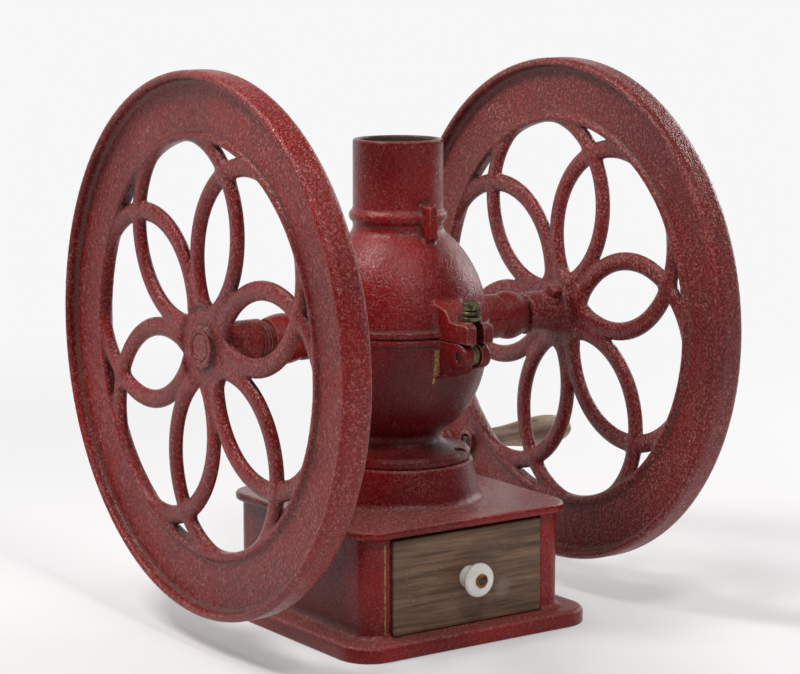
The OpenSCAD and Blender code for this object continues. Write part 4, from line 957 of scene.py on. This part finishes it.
def washer_field(x, y, z):
    h = z - AXLE_H
    out = hypot(x, y - BOLT_Y)
    washer = rod_field(out, h, 8.4, WASHER_H, WASHER_H + 3.0, 0.7)
    return np.maximum(washer, 3.05 - out)


# Small parts that keep their CAD meshes

def dress(finish, *nodes):
    for name in nodes:
        data = frame["nodes"][name].data
        data.materials.clear()
        data.materials.append(finish)


def body_of(node):
    for body, members in frame["record"]["behaviour"]["bodies"].items():
        if node in members:
            return body
    raise ValueError(node)


# Studio

def floor_finish():
    """Pale floor that keeps the shadow near the mill and fades into the white wall behind."""
    f = Finish("studio_floor")
    x, y, _ = f.axes()[:3]
    away = f.math("SQRT", f.math("ADD", f.math("MULTIPLY", x, x), f.math("MULTIPLY", y, y)))
    back = f.math("ADD", f.math("MULTIPLY", x, BEHIND[0]), f.math("MULTIPLY", y, BEHIND[1]))
    f.set("Base Color", tone(238, 236, 235))
    f.set("Roughness", 0.75)
    f.set("Specular IOR Level", 0.2)
    glow = f.tree.nodes.new("ShaderNodeEmission")
    glow.inputs["Color"].default_value = BACKDROP
    blend = f.tree.nodes.new("ShaderNodeMixShader")
    path = f.tree.nodes.new("ShaderNodeLightPath")
    seen = f.math("ADD", path.outputs["Is Camera Ray"], path.outputs["Is Glossy Ray"])
    seen = f.math("ADD", seen, path.outputs["Is Transmission Ray"], clamp=True)
    share = f.math("MULTIPLY", f.ramp(away, 0.3, 1.6, 0.35, 1.0), f.ramp(back, -0.6, 0.9, 0.75, 1.0))
    f.join(f.math("MULTIPLY", share, seen), blend.inputs["Fac"])
    f.join(f.shader.outputs["BSDF"], blend.inputs[1])
    f.join(glow.outputs["Emission"], blend.inputs[2])
    f.join(blend.outputs["Shader"], f.output.inputs["Surface"])
    return f.material


def add_floor():
    half = 14.0
    corners = [(-half, -half, 0), (half, -half, 0), (half, half, 0), (-half, half, 0)]
    floor = add_mesh("studio_floor", corners, [(0, 1, 2, 3)], smooth=False)
    floor.data.materials.append(floor_finish())


def add_wall():
    """A white wall that curves around behind the mill and glows evenly."""
    f = Finish("studio_wall")
    glow = f.tree.nodes.new("ShaderNodeEmission")
    glow.inputs["Color"].default_value = BACKDROP
    f.join(glow.outputs["Emission"], f.output.inputs["Surface"])
    middle = math.atan2(BEHIND[1], BEHIND[0])
    points = []
    for i in range(WALL_STEPS + 1):
        turn = middle + math.radians(WALL_HALF_TURN) * (2.0 * i / WALL_STEPS - 1.0)
        points += [(WALL_R * math.cos(turn), WALL_R * math.sin(turn), z) for z in (0.0, WALL_H)]
    faces = [(2 * i, 2 * i + 1, 2 * i + 3, 2 * i + 2) for i in range(WALL_STEPS)]
    wall = add_mesh("studio_wall", points, faces)
    wall.data.materials.append(f.material)


def add_world():
    """A dim even light from the room."""
    world = bpy.data.worlds.new("studio")
    bpy.context.scene.world = world
    world.use_nodes = True
    room = world.node_tree.nodes["Background"]
    room.inputs["Color"].default_value = (1.0, 1.0, 1.0, 1.0)
    room.inputs["Strength"].default_value = ROOM_LIGHT


def add_softbox(name, place, target, width, height, power):
    data = bpy.data.lights.new(name, "AREA")
    data.shape = "RECTANGLE"
    data.size = width
    data.size_y = height
    data.energy = power
    lamp = bpy.data.objects.new(name, data)
    bpy.context.scene.collection.objects.link(lamp)
    lamp.location = place
    lamp.rotation_euler = (Vector(target) - Vector(place)).to_track_quat("-Z", "Y").to_euler()


def add_camera():
    data = bpy.data.cameras.new("camera")
    data.lens = 113.17
    data.sensor_width = 36.0
    data.clip_end = 50.0
    camera = bpy.data.objects.new("camera", data)
    bpy.context.scene.collection.objects.link(camera)
    camera.location = (-1.1675, -1.6819, 0.5589)
    camera.rotation_euler = (math.radians(90.0 - 9.013), 0.0, math.radians(-34.814))
    bpy.context.scene.camera = camera


BACKDROP = (0.93, 0.93, 0.935, 1.0)
BEHIND = (0.571, 0.821)
WALL_R = 2.6
WALL_H = 1.6
WALL_HALF_TURN = 95.0
WALL_STEPS = 48
ROOM_LIGHT = 0.12


# The mill

bpy.context.scene.view_settings.view_transform = "Standard"
add_camera()
add_world()
add_floor()
add_wall()
middle = (0.0, 0.0, 0.22)
add_softbox("left", (-0.9, 0.36, 1.75), middle, 0.45, 0.45, 24.0)
add_softbox("front", (-0.25, -1.15, 1.6), middle, 0.3, 0.3, 12.0)
add_softbox("right", (1.75, 0.36, 0.95), middle, 0.5, 1.0, 15.0)

paint = enamel("red_enamel", line=(-0.0138, 0.0008, 0.207, 0.234, -0.0765, -0.06))
neck_paint = enamel("red_enamel_upper", dust=0.4, open_neck=True)
wheel_paint = enamel("red_enamel_wheel", 480.0, 0.0006, 0.7, 0.1, 0.5, 0.22, (112, 12, 12), (144, 16, 17))
dusty_paint = enamel("red_enamel_right_wheel", 480.0, 0.0006, 1.0, 0.1, 0.5, 0.22, (106, 30, 31), (130, 32, 32))
base_paint = enamel("red_enamel_base", 560.0, 0.0004, 0.25, 0.75, 0.4, 0.12, (104, 3, 7), (150, 8, 12),
                    line=(-0.080, 0.0006, 0.017, 0.088, -0.0990, -0.09))
axle_paint = axle_finish()
dark = bare_metal("dark_steel", tone(92, 78, 66), tone(44, 34, 28), 0.75, 0.5)
tarnished = bare_metal("worn_steel", tone(132, 124, 92), tone(66, 58, 42), 0.8, 0.42)
rusty = bare_metal("rusty_steel", tone(150, 96, 48), tone(70, 36, 20), 0.5, 0.6)
bronze = bare_metal("bronze", tone(176, 132, 74), tone(96, 66, 34), 0.9, 0.4)
iron = bare_metal("burr_iron", tone(104, 100, 98), tone(52, 48, 46), 0.85, 0.48)
drawer = drawer_wood()
handle = handle_wood()
glaze = porcelain(KNOB_Z * MM)

dress(dark, "top_plate_screws", "hinge_pin", "clamp_pin", "handle_pin", "handle_nut", "handle_washer",
      "burr_screws", "drive_pin", "drawer_nails", "knob_screw")
dress(tarnished, "clamp_bolt")
dress(axle_paint, "axle")
dress(bronze, "right_bush", "thrust_washer")
dress(iron, "feed_screw", "fixed_burr", "rotating_burr")
dress(rusty, "knob_washer")
dress(drawer, "drawer_left_side", "drawer_right_side", "drawer_back", "drawer_bottom")

LEFT_WHEEL = wheel_field(LEFT_X, LEFT_X - HUB_FACE, LEFT_HUB_IN, LEFT_SCREW, LEFT_PHASE, -1.0)
RIGHT_WHEEL = wheel_field(RIGHT_X, RIGHT_HUB_IN, RIGHT_X + HUB_FACE, RIGHT_SCREW, RIGHT_PHASE, 1.0)
reach = WHEEL_R + 3.0
cast("left_flywheel", left_wheel_field, (-200, -reach, AXLE_H - reach), (-128, reach, AXLE_H + reach), 1.6,
     wheel_paint, "red_enamel", "left_wheel")
cast("right_flywheel", right_wheel_field, (124, -reach, AXLE_H - reach), (190, reach, AXLE_H + reach), 1.6,
     dusty_paint, "red_enamel", "right_wheel")
cast("upper_casting", upper_shell_field, (-101, -118, AXLE_H - 12), (104, 101, AXLE_H + 159), 1.2,
     neck_paint, "red_enamel", "upper_shell")
cast("lower_casting", lower_shell_field, (-101, -118, DRUM_TOP - 3), (104, 101, AXLE_H + 12), 1.2,
     paint, "red_enamel", "lower_shell", "pedestal", "bowl_wall")
cast("top_casting", top_plate_field, (-108, -108, 91), (108, 108, 137), 1.5,
     base_paint, "red_enamel", "top_plate")
cast("base_casting", base_box_field, (-121, -121, -3), (121, 121, 97), 1.6,
     base_paint, "red_enamel", "base_box")
cast("left_lock_ring", collar_field(LEFT_RING_X, LEFT_RING_W), (-130, -23, AXLE_H - 23), (-95, 23, AXLE_H + 23), 0.8,
     paint, "red_enamel", "left_collar")
cast("right_ring", collar_field(RIGHT_RING_X, RIGHT_RING_W), (98, -23, AXLE_H - 23), (126, 23, AXLE_H + 23), 0.8,
     paint, "red_enamel", "right_collar")
cast("threaded_sleeve", sleeve_field, (-144, -18, AXLE_H - 18), (-58, 18, AXLE_H + 18), 0.6,
     paint, "red_enamel", "adjusting_sleeve")
cast("left_square_screw", set_screw_field(*LEFT_SCREW), (-172, -4, AXLE_H - 34), (-149, 40, AXLE_H + 10), 0.7,
     paint, "red_enamel", "left_set_screw")
cast("right_square_screw", set_screw_field(*RIGHT_SCREW), (140, -34, AXLE_H - 6), (163, 8, AXLE_H + 36), 0.7,
     paint, "red_enamel", "right_set_screw")
cast("flange_bolts", flange_screws_field, (-62, -62, 120), (62, 62, 145), 0.6,
     paint, "red_enamel", "flange_screws")
cast("clamp_nut_worn", nut_field, (-9, BOLT_Y - 9, AXLE_H + 18), (9, BOLT_Y + 9, AXLE_H + 35), 0.5,
     tarnished, "worn_steel", "clamp_nut")
cast("clamp_washer_worn", washer_field, (-11, BOLT_Y - 11, AXLE_H + 15), (11, BOLT_Y + 11, AXLE_H + 23), 0.5,
     tarnished, "worn_steel", "clamp_washer")
cast("drawer_face", drawer_front_field, (-76, -102, 10), (76, -81, 94), 1.2,
     drawer, "drawer_wood", "drawer_front")
cast("white_knob", knob_field, (-16, -119, KNOB_Z - 16), (16, -98, KNOB_Z + 16), 0.5,
     glaze, "porcelain", "drawer_knob")
cast("crank_handle", handle_field, (186, HANDLE_Y - 18, HANDLE_Z - 18), (285, HANDLE_Y + 18, HANDLE_Z + 18), 0.9,
     handle, "handle_wood", "wooden_handle")

bpy.context.view_layer.update()
